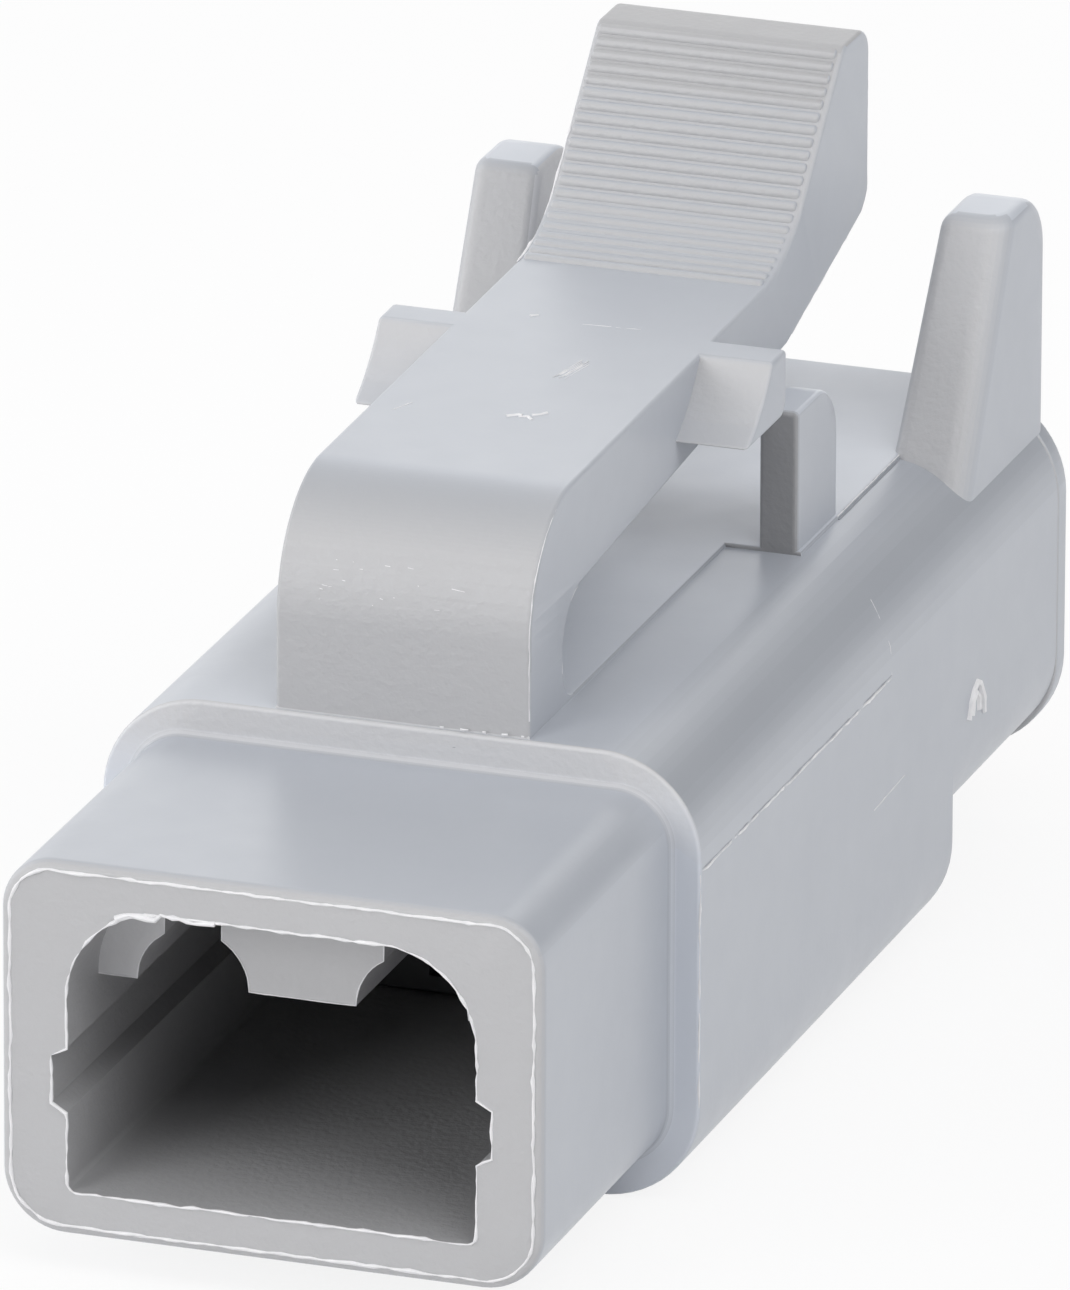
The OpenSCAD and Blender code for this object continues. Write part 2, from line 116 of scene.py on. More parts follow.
world = bpy.data.worlds.new("white_tent")
world.use_nodes = True
tree = world.node_tree
tree.nodes.clear()
heading = add(tree, "ShaderNodeTexCoord").outputs["Generated"]
ahead = add(tree, "ShaderNodeVectorMath", {0: heading, 1: PORT}, operation="DOT_PRODUCT")
tent = add(tree, "ShaderNodeMapRange", {"Value": ahead.outputs["Value"], "From Min": PORT_RIM[0],
                                        "From Max": PORT_RIM[1], "To Min": TENT, "To Max": 0.0})
ray = add(tree, "ShaderNodeLightPath")
seen = add(tree, "ShaderNodeMath", {0: ray.outputs["Is Camera Ray"],
                                    1: ray.outputs["Is Transmission Ray"]}, operation="MAXIMUM")
across_gap = add(tree, "ShaderNodeVectorMath", {0: heading, 1: GAP}, operation="DOT_PRODUCT")
gloss = add(tree, "ShaderNodeMapRange", {"Value": across_gap.outputs["Value"],
                                         "From Min": GAP_RIM[0], "From Max": GAP_RIM[1],
                                         "To Min": 1.0, "To Max": 0.0})
strength = add(tree, "ShaderNodeMix", {"Factor": ray.outputs["Is Glossy Ray"],
                                       "A": tent.outputs[0], "B": gloss.outputs[0]})
strength = add(tree, "ShaderNodeMix", {"Factor": seen.outputs[0], "A": strength.outputs[0],
                                       "B": 1.0})
sky = add(tree, "ShaderNodeBackground", {"Color": linear("#ffffff"),
                                         "Strength": strength.outputs[0]})
tree.links.new(sky.outputs[0], tree.nodes.new("ShaderNodeOutputWorld").inputs[0])
bpy.context.scene.world = world

for name, (turned, raised, watts, size) in LAMPS.items():
    lamp = bpy.data.objects.new(name, bpy.data.lights.new(name, "AREA"))
    lamp.data.size = size
    lamp.data.energy = watts
    facing = (Matrix.Rotation(math.radians(turned), 4, "Z")
              @ Matrix.Rotation(math.radians(90 - raised), 4, "X"))
    lamp.matrix_world = (Matrix.Translation(TARGET) @ facing
                         @ Matrix.Translation((0, 0, LAMP_DISTANCE)))
    bpy.context.scene.collection.objects.link(lamp)

bm = bmesh.new()
bmesh.ops.create_grid(bm, x_segments=1, y_segments=1, size=FLOOR_HALF)
bmesh.ops.translate(bm, vec=(0, 0, -FLOOR_DROP * MM), verts=bm.verts)
floor = bpy.data.objects.new("floor", bpy.data.meshes.new("floor"))
bm.to_mesh(floor.data)

# White paper: it glows a little towards the lens, so that the floor is seen as white all over, and
# shows as plain white in glossy faces.
floor_paint, tree, output = begin("white_paper")
ray = add(tree, "ShaderNodeLightPath")
looked_at = add(tree, "ShaderNodeMath", {0: ray.outputs["Is Camera Ray"], 1: FLOOR_GLOW},
                operation="MULTIPLY")
part = add(tree, "ShaderNodeMath", {0: looked_at.outputs[0], 1: ray.outputs["Is Glossy Ray"]},
           operation="MAXIMUM")
paper = add(tree, "ShaderNodeBsdfDiffuse", {"Color": linear("#f2f2f3")})
glow = add(tree, "ShaderNodeEmission", {"Color": linear("#ffffff"), "Strength": 1.0})
both = add(tree, "ShaderNodeMixShader", {0: part.outputs[0], 1: paper.outputs[0],
                                         2: glow.outputs[0]})
tree.links.new(both.outputs[0], output.inputs[0])
floor.data.materials.append(floor_paint)
bpy.context.scene.collection.objects.link(floor)

# Housing: shroud, body, deck, posts and fins are one injection moulding of light grey glass
# filled nylon, so they are built as soft-edged blocks, joined, and cored out. Sizes are in
# millimetres, with Y from the rim at -21.15 to the rear face at 21.15. A name with SOFT in it is
# the rounding of an edge, which on most edges is only what the mould's tool leaves.
RIM, FLANGE, STEP, REAR = -21.15, -10.85, 11.15, 21.15
BLOCK_FACE, POCKET_FLOOR = -2.15, 12.15
BODY_W, BODY_H, BODY_R = 17.2, 12.85, 2.9
FLANGE_SOFT, STEP_SOFT, REAR_SOFT, FILLET_R = 0.12, 0.15, 0.12, 0.22
DECK, DECK_HALF, DECK_SOFT = 12.95, 5.85, 0.08
SHROUD_W, SHROUD_H, SHROUD_Z = 15.4, 10.7, 1.1
SHROUD_TOP_R, SHROUD_LOW_R, RIM_SOFT = 1.5, 1.75, 0.27
REAR_LIFT, LIP_LEN, LIP_DROP, LIP_SOFT = 2.45, 0.75, 0.25, (0.08, 0.1)
MOUTH_W, MOUTH_H, MOUTH_Z, MOUTH_R, MOUTH_LOW_R = 11.65, 8.25, 2.35, 2.7, 0.25
RIB_RECESS = 2.5
CONTACT_X, CONTACT_Z = 3.12, 7.75
ARCH_R, ARCH_SLOT = 1.6, 1.63
KEY_W, KEY_H, KEY_Z, KEY_SLANT = 12.51, 1.85, 4.63, 0.25
TONGUE_SLOT = ((-4.8, 4.8), (BLOCK_FACE - 1, 3.45), (3.9, 5.1))
THROAT_R, THROAT_END = 1.05, 0.85
BORE_R, BORE_START = 1.45, -0.15
WINDOW_HALF, WINDOW_END, WINDOW_LOW = 1.1, 4.85, 4.7
FINGER_HALF = 0.8
FINGER = [(1.15, 5.1), (5.25, 5.1), (5.25, 5.85), (3.1, 5.85), (1.8, 6.5), (1.15, 6.5)]
POCKET_W, POCKET_H, POCKET_R, LEAD_IN, FLARE = 13.8, 7.2, 3.0, 0.4, 1.6
LEVER_HALF = 3.65
POST_Y, POST_X, POST_W, POST_LEN, POST_H = 5.7, 4.6, 1.13, 3.5, 4.05
POST_R, POST_SOFT = 1.7, 0.16
FIN_END, FIN_OUT, FIN_W, FIN_TAPER = 21.0, 7.95, 2.4, 0.38
FIN_H, FIN_LEN, FIN_TOP, FIN_R = 6.1, 6.7, 1.8, 1.7
FIN_SOFT = {1: (0.75, 0.4), -1: (0.5, 0.34)}
FOOT_REAR, FOOT_R = -7.95, 0.85
# Steps in a large rounding, and how close counts as the same place and as near it, in mm.
ROUND = 14
TINY, NEAR = 1e-4, 0.01


def block(x, y, z):
    """A square block between the lowest and highest X, Y and Z that are given."""
    made = bmesh.new()
    bmesh.ops.create_cube(made, size=1)
    bmesh.ops.scale(made, vec=(x[1] - x[0], y[1] - y[0], z[1] - z[0]), verts=made.verts)
    bmesh.ops.translate(made, vec=(sum(x) / 2, sum(y) / 2, sum(z) / 2), verts=made.verts)
    return made


def soften(made, radius, segments, chosen):
    """Rounds the hard edges for whose two ends chosen() is true."""
    made.normal_update()
    edges = [e for e in made.edges
             if e.calc_face_angle(0) > math.radians(20) and chosen(*(v.co for v in e.verts))]
    bmesh.ops.bevel(made, geom=edges, offset=radius, offset_type="OFFSET", affect="EDGES",
                    segments=segments, profile=0.5, material=-1)
    return made


def lengthwise(a, b):
    """Chooses the edges along Y."""
    return abs(a.x - b.x) + abs(a.z - b.z) < TINY


def at_end(y):
    """Chooses the edges of the end face at y."""
    return lambda a, b: abs(a.y - y) + abs(b.y - y) < TINY


def bar(width, height, radius, low, y, front_r=0.0, rear_r=0.0):
    """A bar along Y with round long edges, standing on low, and soft rims at its two ends."""
    made = soften(block((-width / 2, width / 2), y, (low, low + height)), radius, ROUND,
                  lengthwise)
    for place, soft in zip(y, (front_r, rear_r)):
        if soft:
            soften(made, soft, 4, at_end(place))
    return made


def drawn(points, x):
    """A plate between two X values, whose outline is drawn as Y and Z."""
    made = bmesh.new()
    face = made.faces.new([made.verts.new((x[0], p[0], p[1])) for p in points])
    grown = bmesh.ops.extrude_face_region(made, geom=[face])["geom"]
    bmesh.ops.translate(made, vec=(x[1] - x[0], 0, 0),
                        verts=[v for v in grown if isinstance(v, bmesh.types.BMVert)])
    bmesh.ops.recalc_face_normals(made, faces=made.faces)
    return made


def corner(y, z):
    """Chooses the edge across the part that runs through one corner of a drawn outline."""
    return lambda a, b: max(math.hypot(p.y - y, p.z - z) for p in (a, b)) < 2 * NEAR


def rod(radius, x, y, z, front=None):
    """A round rod along Y, which may have another radius at its front end."""
    made = bmesh.new()
    bmesh.ops.create_cone(made, cap_ends=True, segments=48, radius1=radius,
                          radius2=radius if front is None else front, depth=y[1] - y[0])
    bmesh.ops.rotate(made, matrix=Matrix.Rotation(math.pi / 2, 3, "X"), verts=made.verts)
    bmesh.ops.translate(made, vec=(x, sum(y) / 2, z), verts=made.verts)
    return made


def cut_and_joined(first, groups):
    """Joins solids to the first one, or cuts them from it, in the order that is given."""
    base = bpy.data.objects.new("blank", bpy.data.meshes.new("blank"))
    first.to_mesh(base.data)
    bpy.context.scene.collection.objects.link(base)
    spent = [base]
    for operation, solids in groups:
        tools = bpy.data.collections.new("tools")
        bpy.context.scene.collection.children.link(tools)
        for solid in solids:
            tool = bpy.data.objects.new("tool", bpy.data.meshes.new("tool"))
            solid.to_mesh(tool.data)
            tools.objects.link(tool)
            spent.append(tool)
        step = base.modifiers.new(operation, "BOOLEAN")
        step.operation = operation
        step.operand_type = "COLLECTION"
        step.collection = tools
        step.solver = "EXACT"
    bpy.context.view_layer.update()
    result = bmesh.new()
    result.from_object(base, bpy.context.evaluated_depsgraph_get())
    for used in spent:
        bpy.data.objects.remove(used)
    for tools in [c for c in bpy.data.collections if c.name.startswith("tools")]:
        bpy.data.collections.remove(tools)
    bmesh.ops.remove_doubles(result, verts=result.verts, dist=TINY)
    bmesh.ops.dissolve_degenerate(result, edges=result.edges, dist=TINY)
    return result


def piece(name, made, material):
    """Makes the finished object, in metres, with flat faces shaded flat and soft edges smooth."""
    bmesh.ops.scale(made, vec=(MM, MM, MM), verts=made.verts)
    finished = bpy.data.objects.new(name, bpy.data.meshes.new(name))
    for face in made.faces:
        face.smooth = True
    bmesh.ops.triangulate(made, faces=[f for f in made.faces if len(f.verts) > 4],
                          quad_method="BEAUTY", ngon_method="BEAUTY")
    made.to_mesh(finished.data)
    finished.data.set_sharp_from_angle(angle=math.radians(32))
    finished.data.materials.append(material)
    bpy.context.scene.collection.objects.link(finished)
    evened = finished.modifiers.new("even_normals", "WEIGHTED_NORMAL")
    evened.keep_sharp = True
    evened.weight = 80
    return finished


def keys(gap, y):
    """The two key grooves: they narrow towards their floors, and one solid fills both."""
    made = block((-KEY_W / 2 + gap, KEY_W / 2 - gap), y, (KEY_Z + gap, KEY_Z + KEY_H - gap))
    groove = (KEY_W - MOUTH_W) / 2
    for side in (-1, 1):
        bmesh.ops.bisect_plane(made, geom=made.verts[:] + made.edges[:] + made.faces[:],
                               plane_co=(side * (KEY_W / 2 - gap - groove), 0, 0),
                               plane_no=(1, 0, 0))
    for v in made.verts:
        if abs(v.co.x) > KEY_W / 2 - gap - groove / 2:
            v.co.z += KEY_SLANT if v.co.z < KEY_Z + KEY_H / 2 else -KEY_SLANT
    return made


def keyed_mouth(gap, y, corner_r):
    """The solids that fill the mouth behind the rib's front, less a gap all round."""
    half = MOUTH_W / 2 - gap
    low = soften(block((-half, half), y, (MOUTH_Z + gap, CONTACT_Z - gap)), corner_r, 4,
                 lambda a, b: lengthwise(a, b) and a.z < CONTACT_Z - 1)
    parts = [low, keys(gap, y)]
    for x in (-CONTACT_X, CONTACT_X):
        parts.append(rod(ARCH_R - gap, x, y, CONTACT_Z))
        parts.append(block((x - ARCH_SLOT / 2 + gap, x + ARCH_SLOT / 2 - gap), y,
                           (CONTACT_Z - 0.5, MOUTH_Z + MOUTH_H - gap - 0.03)))
    return parts


def fin(side):
    """A guard fin: its front and inner side lean, its outer side and rear stand upright."""
    low = DECK - BODY_R / 2
    slope = (FIN_LEN - FIN_TOP - FIN_R) / FIN_H
    made = block((-1, 1), (-1, 1), (-1, 1))
    for v in made.verts:
        z = DECK + FIN_H if v.co.z > 0 else low
        rise = (z - DECK) / FIN_H
        inner = FIN_OUT - FIN_W + FIN_TAPER * max(rise, 0)
        x = side * (FIN_OUT if v.co.x * side > 0 else inner)
        y = FIN_END if v.co.y > 0 else FIN_END - FIN_LEN + slope * (z - DECK)
        v.co = (x, y, z)
    top = DECK + FIN_H
    soften(made, FIN_R, 12,
           lambda a, b: min(a.z, b.z) > top - NEAR and min(a.y, b.y) > FIN_END - NEAR)
    front = FIN_END - FIN_LEN + slope * FIN_H
    outer_r, edge_r = FIN_SOFT[side]
    soften(made, outer_r, 7,
           lambda a, b: max(a.z, b.z) > top - NEAR and min(a.z, b.z) < low + NEAR
           and max(a.y, b.y) < front + NEAR and min(abs(a.x), abs(b.x)) > FIN_OUT - NEAR)
    return soften(made, edge_r, 5, lambda a, b: max(a.z, b.z) > low + 10 * NEAR)


shroud = block((-SHROUD_W / 2, SHROUD_W / 2), (RIM, FLANGE + 1), (SHROUD_Z, SHROUD_Z + SHROUD_H))
soften(shroud, SHROUD_TOP_R, ROUND, lambda a, b: lengthwise(a, b) and a.z > CONTACT_Z)
soften(shroud, SHROUD_LOW_R, ROUND, lambda a, b: lengthwise(a, b) and a.z < CONTACT_Z)
soften(shroud, RIM_SOFT, 4, at_end(RIM))
body = cut_and_joined(bar(BODY_W, BODY_H, BODY_R, 0, (FLANGE, STEP), FLANGE_SOFT, STEP_SOFT),
                      [("UNION", [shroud])])
body.normal_update()
inner = [e for e in body.edges if not e.is_convex and e.calc_face_angle(0) > 1
         and max(abs(v.co.y - FLANGE) for v in e.verts) < 10 * TINY]
bmesh.ops.bevel(body, geom=inner, offset=FILLET_R, offset_type="OFFSET", affect="EDGES",
                segments=6, profile=0.5, material=-1)


def raised(half, y):
    """A step of the deck, with soft top edges."""
    return soften(block((-half, half), y, (DECK - 0.5, DECK)), DECK_SOFT, 3,
                  lambda a, b: min(a.z, b.z) > DECK - NEAR)


blocks = [
    bar(BODY_W, BODY_H - REAR_LIFT, BODY_R, REAR_LIFT, (STEP - 1, REAR - LIP_LEN),
        rear_r=REAR_SOFT),
    bar(BODY_W, BODY_H - REAR_LIFT + LIP_DROP, BODY_R, REAR_LIFT - LIP_DROP,
        (REAR - LIP_LEN, REAR), *LIP_SOFT),
    raised(LEVER_HALF, (FLANGE + 0.15, POST_Y + 0.4)),
    raised(DECK_HALF, (POST_Y, REAR - 0.05)),
    soften(drawn([(FOOT_REAR - 0.5, DECK - 0.3), (FOOT_REAR + FOOT_R, DECK - 0.3),
                  (FOOT_REAR + FOOT_R, DECK), (FOOT_REAR, DECK), (FOOT_REAR, DECK + FOOT_R),
                  (FOOT_REAR - 0.5, DECK + FOOT_R)], (-LEVER_HALF + NEAR, LEVER_HALF - NEAR)),
           FOOT_R - 0.02, 8, corner(FOOT_REAR, DECK)),
]
for side in (-1, 1):
    xs = sorted((side * POST_X, side * (POST_X + POST_W)))
    post = block(xs, (POST_Y, POST_Y + POST_LEN), (DECK - 0.4, DECK + POST_H))
    soften(post, POST_R, 12, corner(POST_Y + POST_LEN, DECK + POST_H))
    blocks.append(soften(post, POST_SOFT, 3, lambda a, b: max(a.z, b.z) > DECK))
    blocks.append(fin(side))

mouth = block((-MOUTH_W / 2, MOUTH_W / 2), (RIM - 1, RIM + RIB_RECESS),
              (MOUTH_Z, MOUTH_Z + MOUTH_H))
soften(mouth, MOUTH_R, ROUND, lambda a, b: lengthwise(a, b) and a.z > MOUTH_Z + 1)
soften(mouth, MOUTH_LOW_R, 4, lambda a, b: lengthwise(a, b) and a.z < MOUTH_Z + 0.1)
cores = [mouth, keys(0, (RIM - 1, RIM + RIB_RECESS + 0.3))]
cores += keyed_mouth(0, (RIM + RIB_RECESS - 0.3, BLOCK_FACE), MOUTH_LOW_R)
pocket_z = CONTACT_Z - POCKET_H / 2
cores.append(bar(POCKET_W, POCKET_H, POCKET_R, pocket_z, (POCKET_FLOOR, REAR + 1)))
lead_in = bar(POCKET_W, POCKET_H, POCKET_R, pocket_z, (REAR - LEAD_IN, REAR + LEAD_IN))
for v in lead_in.verts:
    if v.co.y > REAR:
        v.co.x *= 1 + FLARE / POCKET_W
        v.co.z = CONTACT_Z + (v.co.z - CONTACT_Z) * (1 + FLARE / POCKET_H)
cores.append(lead_in)
cores.append(block(*TONGUE_SLOT))
for x in (-CONTACT_X, CONTACT_X):
    cores.append(rod(THROAT_R, x, (BLOCK_FACE - 1, THROAT_END), CONTACT_Z))
    cores.append(rod(BORE_R, x, (BORE_START, POCKET_FLOOR + 1), CONTACT_Z))
    cores.append(block((x - WINDOW_HALF, x + WINDOW_HALF), (BORE_START, WINDOW_END),
                       (WINDOW_LOW, CONTACT_Z)))
fingers = [drawn(FINGER, (x - FINGER_HALF, x + FINGER_HALF)) for x in (-CONTACT_X, CONTACT_X)]
housing = cut_and_joined(body, [("UNION", blocks), ("DIFFERENCE", cores), ("UNION", fingers)])

# Moulded glass filled nylon: its faces along the draw are smooth and a little glossy, so they
# pick up the white room at a flat angle, and their colour is painted a little cooler, as a painted
# sheen of the cool light that they mirror. The faces across the draw, marked by the attribute
# "sanded", are matt and finely sandy from the mould. Each face's colour is scaled by the light
# and shade that are painted on it.
grey_nylon, tree, output = begin("moulded_light_grey_nylon")
place = add(tree, "ShaderNodeTexCoord").outputs["Object"]
sanded = add(tree, "ShaderNodeAttribute", attribute_name="sanded").outputs["Fac"]
flow = add(tree, "ShaderNodeTexNoise", {"Vector": place, "Scale": 1 / (5 * MM), "Detail": 3})
smooth_tint_and_cool_sheen = add(tree, "ShaderNodeMix", {"Factor": flow.outputs["Fac"], 6: linear("#adb1b9"),
                                          7: linear("#b4b8bf")}, data_type="RGBA")
tint = add(tree, "ShaderNodeMix", {"Factor": sanded, 6: smooth_tint_and_cool_sheen.outputs[2],
                                   7: linear("#b6b6b8")}, data_type="RGBA")
painted_light_and_shade = add(tree, "ShaderNodeAttribute", attribute_name="painted_light_and_shade").outputs["Fac"]
shade = add(tree, "ShaderNodeVectorMath", {0: tint.outputs[2], 3: painted_light_and_shade}, operation="SCALE")
grain = add(tree, "ShaderNodeTexNoise", {"Vector": place, "Scale": 1 / (0.22 * MM), "Detail": 3})
cloud = add(tree, "ShaderNodeTexNoise", {"Vector": place, "Scale": 1 / (1.1 * MM), "Detail": 2})
dull = add(tree, "ShaderNodeMapRange", {"Value": sanded, "To Min": 0.36, "To Max": 0.52})
patchy = add(tree, "ShaderNodeMapRange", {"Value": cloud.outputs["Fac"], "To Min": -0.06,
                                          "To Max": 0.06})
dull = add(tree, "ShaderNodeMath", {0: dull.outputs[0], 1: patchy.outputs[0]})
depth = add(tree, "ShaderNodeMapRange", {"Value": sanded, "To Min": 0.1, "To Max": 0.9})
relief = add(tree, "ShaderNodeBump", {"Height": grain.outputs["Fac"],
                                      "Strength": depth.outputs[0], "Distance": 0.03 * MM})
skin = add(tree, "ShaderNodeBsdfPrincipled",
           {"Base Color": shade.outputs[0], "Roughness": dull.outputs[0], "IOR": 1.58,
            "Normal": relief.outputs[0]})
tree.links.new(skin.outputs[0], output.inputs[0])


def mark_skin(finished, look):
    """Marks each face, as look() gives it: how sandy it is, and how light or dark it is painted.
    """
    mesh = finished.data
    sandy = mesh.attributes.new("sanded", "FLOAT", "FACE")
    light = mesh.attributes.new("painted_light_and_shade", "FLOAT", "FACE")
    for face in mesh.polygons:
        facing = min(max((-face.normal.y - 0.1) / 0.7, 0), 1)
        sandy.data[face.index].value, light.data[face.index].value = look(
            *(face.center / MM), face.normal, facing)


# How much lighter or darker the housing's skin is painted, with 1 for the colour as it is written:
# painted light and shade. The inside of the mouth is matt and painted in shade, the shroud's top
# is painted a little darker, and the left rib, the inside of the left fin, the deck and the tops
# of the posts and fins are painted lighter. Where a face turns from one direction to another,
# facing says how far it looks forwards, from 0 to 1.
HOUSING_PAINTED_LIGHT = {"mouth": 0.76, "mouth_left": 0.84, "left_rib": 1.3, "left_fin_inside": 1.24,
        "shroud_top": 0.95, "deck": 1.14, "post_top": 1.22, "fin_top": 1.22}
# Painted light on the right fin's front and a little painted shade on the left one's, painted
# shadow on the posts' fronts under the lugs, and painted shade on the shoulders.
FIN_PAINTED_LIGHT, POST_PAINTED_SHADOW, SHOULDER_PAINTED_SHADE = {1: 0.13, -1: -0.05}, 0.36, 0.3
# The flange's face is painted lighter, less so towards its top; its fillet takes part of that,
# with painted shade in its middle.
FLANGE_PAINTED_LIGHT, FLANGE_TOP_DROP, FILLET_LIFT, FILLET_PAINTED_SHADE = 0.42, 0.18, 0.45, 0.16
FLANGE_TURN_Z, FLANGE_TURN = 9.8, 2.6


def housing_look(x, y, z, normal, facing):
    """How sandy the housing is at a face, and how light or dark it is painted there."""
    upper = min(max((z - FLANGE_TURN_Z) / FLANGE_TURN, 0), 1)
    in_mouth = (RIM + 0.05 < y < POCKET_FLOOR and abs(x) < KEY_W / 2 + 0.1
                and MOUTH_Z - 0.1 < z < MOUTH_Z + MOUTH_H + 0.1)
    on_flange = facing > 0 and abs(y - FLANGE) < 0.45 and z < DECK
    on_fin = y > STEP and abs(x) > 5
    fin_inside = on_fin and normal.x > 0.6 and x < 0 and z > DECK + 0.3
    on_post = POST_Y < y < POST_Y + POST_LEN and DECK + 1 < z < DECK + POST_H + 0.1
    sandy = facing
    if in_mouth or fin_inside:
        sandy = 1
    elif on_flange:
        sandy = upper if y > FLANGE - 0.05 else facing * upper
    painted_light_and_shade = 1
    if in_mouth and facing < 0.3:
        painted_light_and_shade = HOUSING_PAINTED_LIGHT["mouth_left"] if normal.x > 0.7 else HOUSING_PAINTED_LIGHT["mouth"]
    elif in_mouth and x < -3.5 and y < RIM + RIB_RECESS + 0.1:
        painted_light_and_shade = HOUSING_PAINTED_LIGHT["left_rib"]
    elif fin_inside:
        painted_light_and_shade = HOUSING_PAINTED_LIGHT["left_fin_inside"]
    elif facing and on_fin:
        painted_light_and_shade = 1 + FIN_PAINTED_LIGHT[1 if x > 0 else -1] * facing
    elif facing and abs(y - POST_Y) < 0.2 and z < DECK + POST_H:
        painted_light_and_shade = 1 - POST_PAINTED_SHADOW * facing
    elif on_flange:
        lift = facing * (FLANGE_PAINTED_LIGHT - FLANGE_TOP_DROP * upper)
        painted_light_and_shade = 1 + lift
        if y < FLANGE - 0.01:
            painted_light_and_shade = 1 + lift * FILLET_LIFT - FILLET_PAINTED_SHADE * 4 * facing * (1 - facing)
    elif normal.z > 0.3 and y < FLANGE:
        painted_light_and_shade = HOUSING_PAINTED_LIGHT["shroud_top"]
    elif normal.z > 0.95 and abs(z - DECK) < 0.03:
        painted_light_and_shade = HOUSING_PAINTED_LIGHT["deck"]
    elif normal.z > 0.3 and on_post:
        painted_light_and_shade = HOUSING_PAINTED_LIGHT["post_top"]
    elif normal.z > 0.7 and on_fin and z > DECK + FIN_H - 0.4:
        painted_light_and_shade = HOUSING_PAINTED_LIGHT["fin_top"]
    elif normal.x > 0.1 and normal.z > 0.1 and y > FLANGE and z < DECK:
        painted_light_and_shade = 1 - SHOULDER_PAINTED_SHADE * min(normal.x, normal.z)
    return sandy, painted_light_and_shade


def edges_at(y):
    """Edges of the flat face that looks forwards at y, where it ends at open air."""
    return [[v.co.copy() for v in e.verts] for e in housing.edges
            if e.is_convex and max(abs(v.co.y - y) for v in e.verts) < 10 * TINY
            and min(f.normal.y for f in e.link_faces) < -0.999
            and max(f.normal.y for f in e.link_faces) > -0.995]


housing.normal_update()
rim_edges, rib_edges = edges_at(RIM), edges_at(RIM + RIB_RECESS)
shell = piece("housing_moulding", housing, grey_nylon)
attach(shell, "housing")
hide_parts("receptacle_housing")
mark_skin(shell, housing_look)

# Flash: where cores and halves of the mould meet, a hair of nylon creeps out and stays on the
# moulding as a thin, uneven edge. It runs round the rim's flat face, round the mouth and along the
# parting line on both sides. The gate has left a small scar on the right side. The pale threads
# along the front edges of the ribs and along the deck's edge are painted highlights, a dark thread
# in the parting seam is painted shade, and one at the foot of the deck's step is a painted shadow.
SIDE = BODY_W / 2
# Lines for the painted highlight on the deck's edge and the painted shadow at the foot of its
# step; heights and ends of the parting seam's painted shade and of the flash ridge.
DECK_LINE = ((5.83, POST_Y + POST_LEN - 0.3, DECK - 0.02), (5.83, 14.9, DECK - 0.02))
STEP_FOOT_X, STEP_FOOT_Z = 5.88, DECK - 0.1
SEAM_Z, SEAM_END, RIDGE_Z, RIDGE_END = 9.77, 5.45, 9.7, 5.4

# A hair of nylon lets the light through, so it looks almost white, in soft patches. The same pale
# nylon draws the painted highlights along some edges and the painted glints on the lever's leg.
pale_flash_and_highlight_nylon, tree, output = begin("whitish_nylon_flash_and_painted_highlight")
place = add(tree, "ShaderNodeTexCoord").outputs["Object"]
patch = add(tree, "ShaderNodeTexNoise", {"Vector": place, "Scale": 1 / (0.6 * MM), "Detail": 2})
pale = add(tree, "ShaderNodeMix", {"Factor": patch.outputs["Fac"], 6: linear("#d2d2d5"),
                                   7: linear("#f2f1f2")}, data_type="RGBA")
skin = add(tree, "ShaderNodeBsdfPrincipled", {"Base Color": pale.outputs[2], "Roughness": 0.42,
                                              "IOR": 1.53})
tree.links.new(skin.outputs[0], output.inputs[0])

# The seam is a shallow groove. Its shade, and the shadow at the foot of the deck's step, are
# painted with this nylon, a little darker than the skin.
painted_shade_nylon, tree, output = begin("shaded_seam_in_nylon")
place = add(tree, "ShaderNodeTexCoord").outputs["Object"]
patch = add(tree, "ShaderNodeTexNoise", {"Vector": place, "Scale": 1 / (1.5 * MM), "Detail": 2})
dim = add(tree, "ShaderNodeMix", {"Factor": patch.outputs["Fac"], 6: linear("#85888f"),
                                  7: linear("#a9acb3")}, data_type="RGBA")
skin = add(tree, "ShaderNodeBsdfPrincipled", {"Base Color": dim.outputs[2], "Roughness": 0.6,
                                              "IOR": 1.53})
tree.links.new(skin.outputs[0], output.inputs[0])


def rank(point):
    """Ranks points by their place, so that a line starts at the same point on every run."""
    return [round(c, 3) for c in point]


def chains(edges):
    """Orders loose edges into lines of points, from end to end or round."""
    beside = {}
    for a, b in edges:
        for here, there in ((a, b), (b, a)):
            beside.setdefault(here.copy().freeze(), []).append(there.copy().freeze())
    lines = []
    while beside:
        point = min(beside, key=lambda p: [len(beside[p])] + rank(p))
        line = []
        while point is not None:
            line.append(Vector(point))
            point = next((q for q in sorted(beside.pop(point), key=rank) if q in beside), None)
        lines.append(line)
    return lines


def spaced(points, closed):
    """Puts points at about even steps of 0.2 mm along a line."""
    found = []
    for a, b in zip(points, points[1:] + points[:1] if closed else points[1:]):
        count = max(1, round((b - a).length / 0.2))
        found += [a.lerp(b, i / count) for i in range(count)]
    return found if closed else found + points[-1:]


# The noise that the threads stray by starts from a set place, so that every run is the same.
noise.seed_set(5)


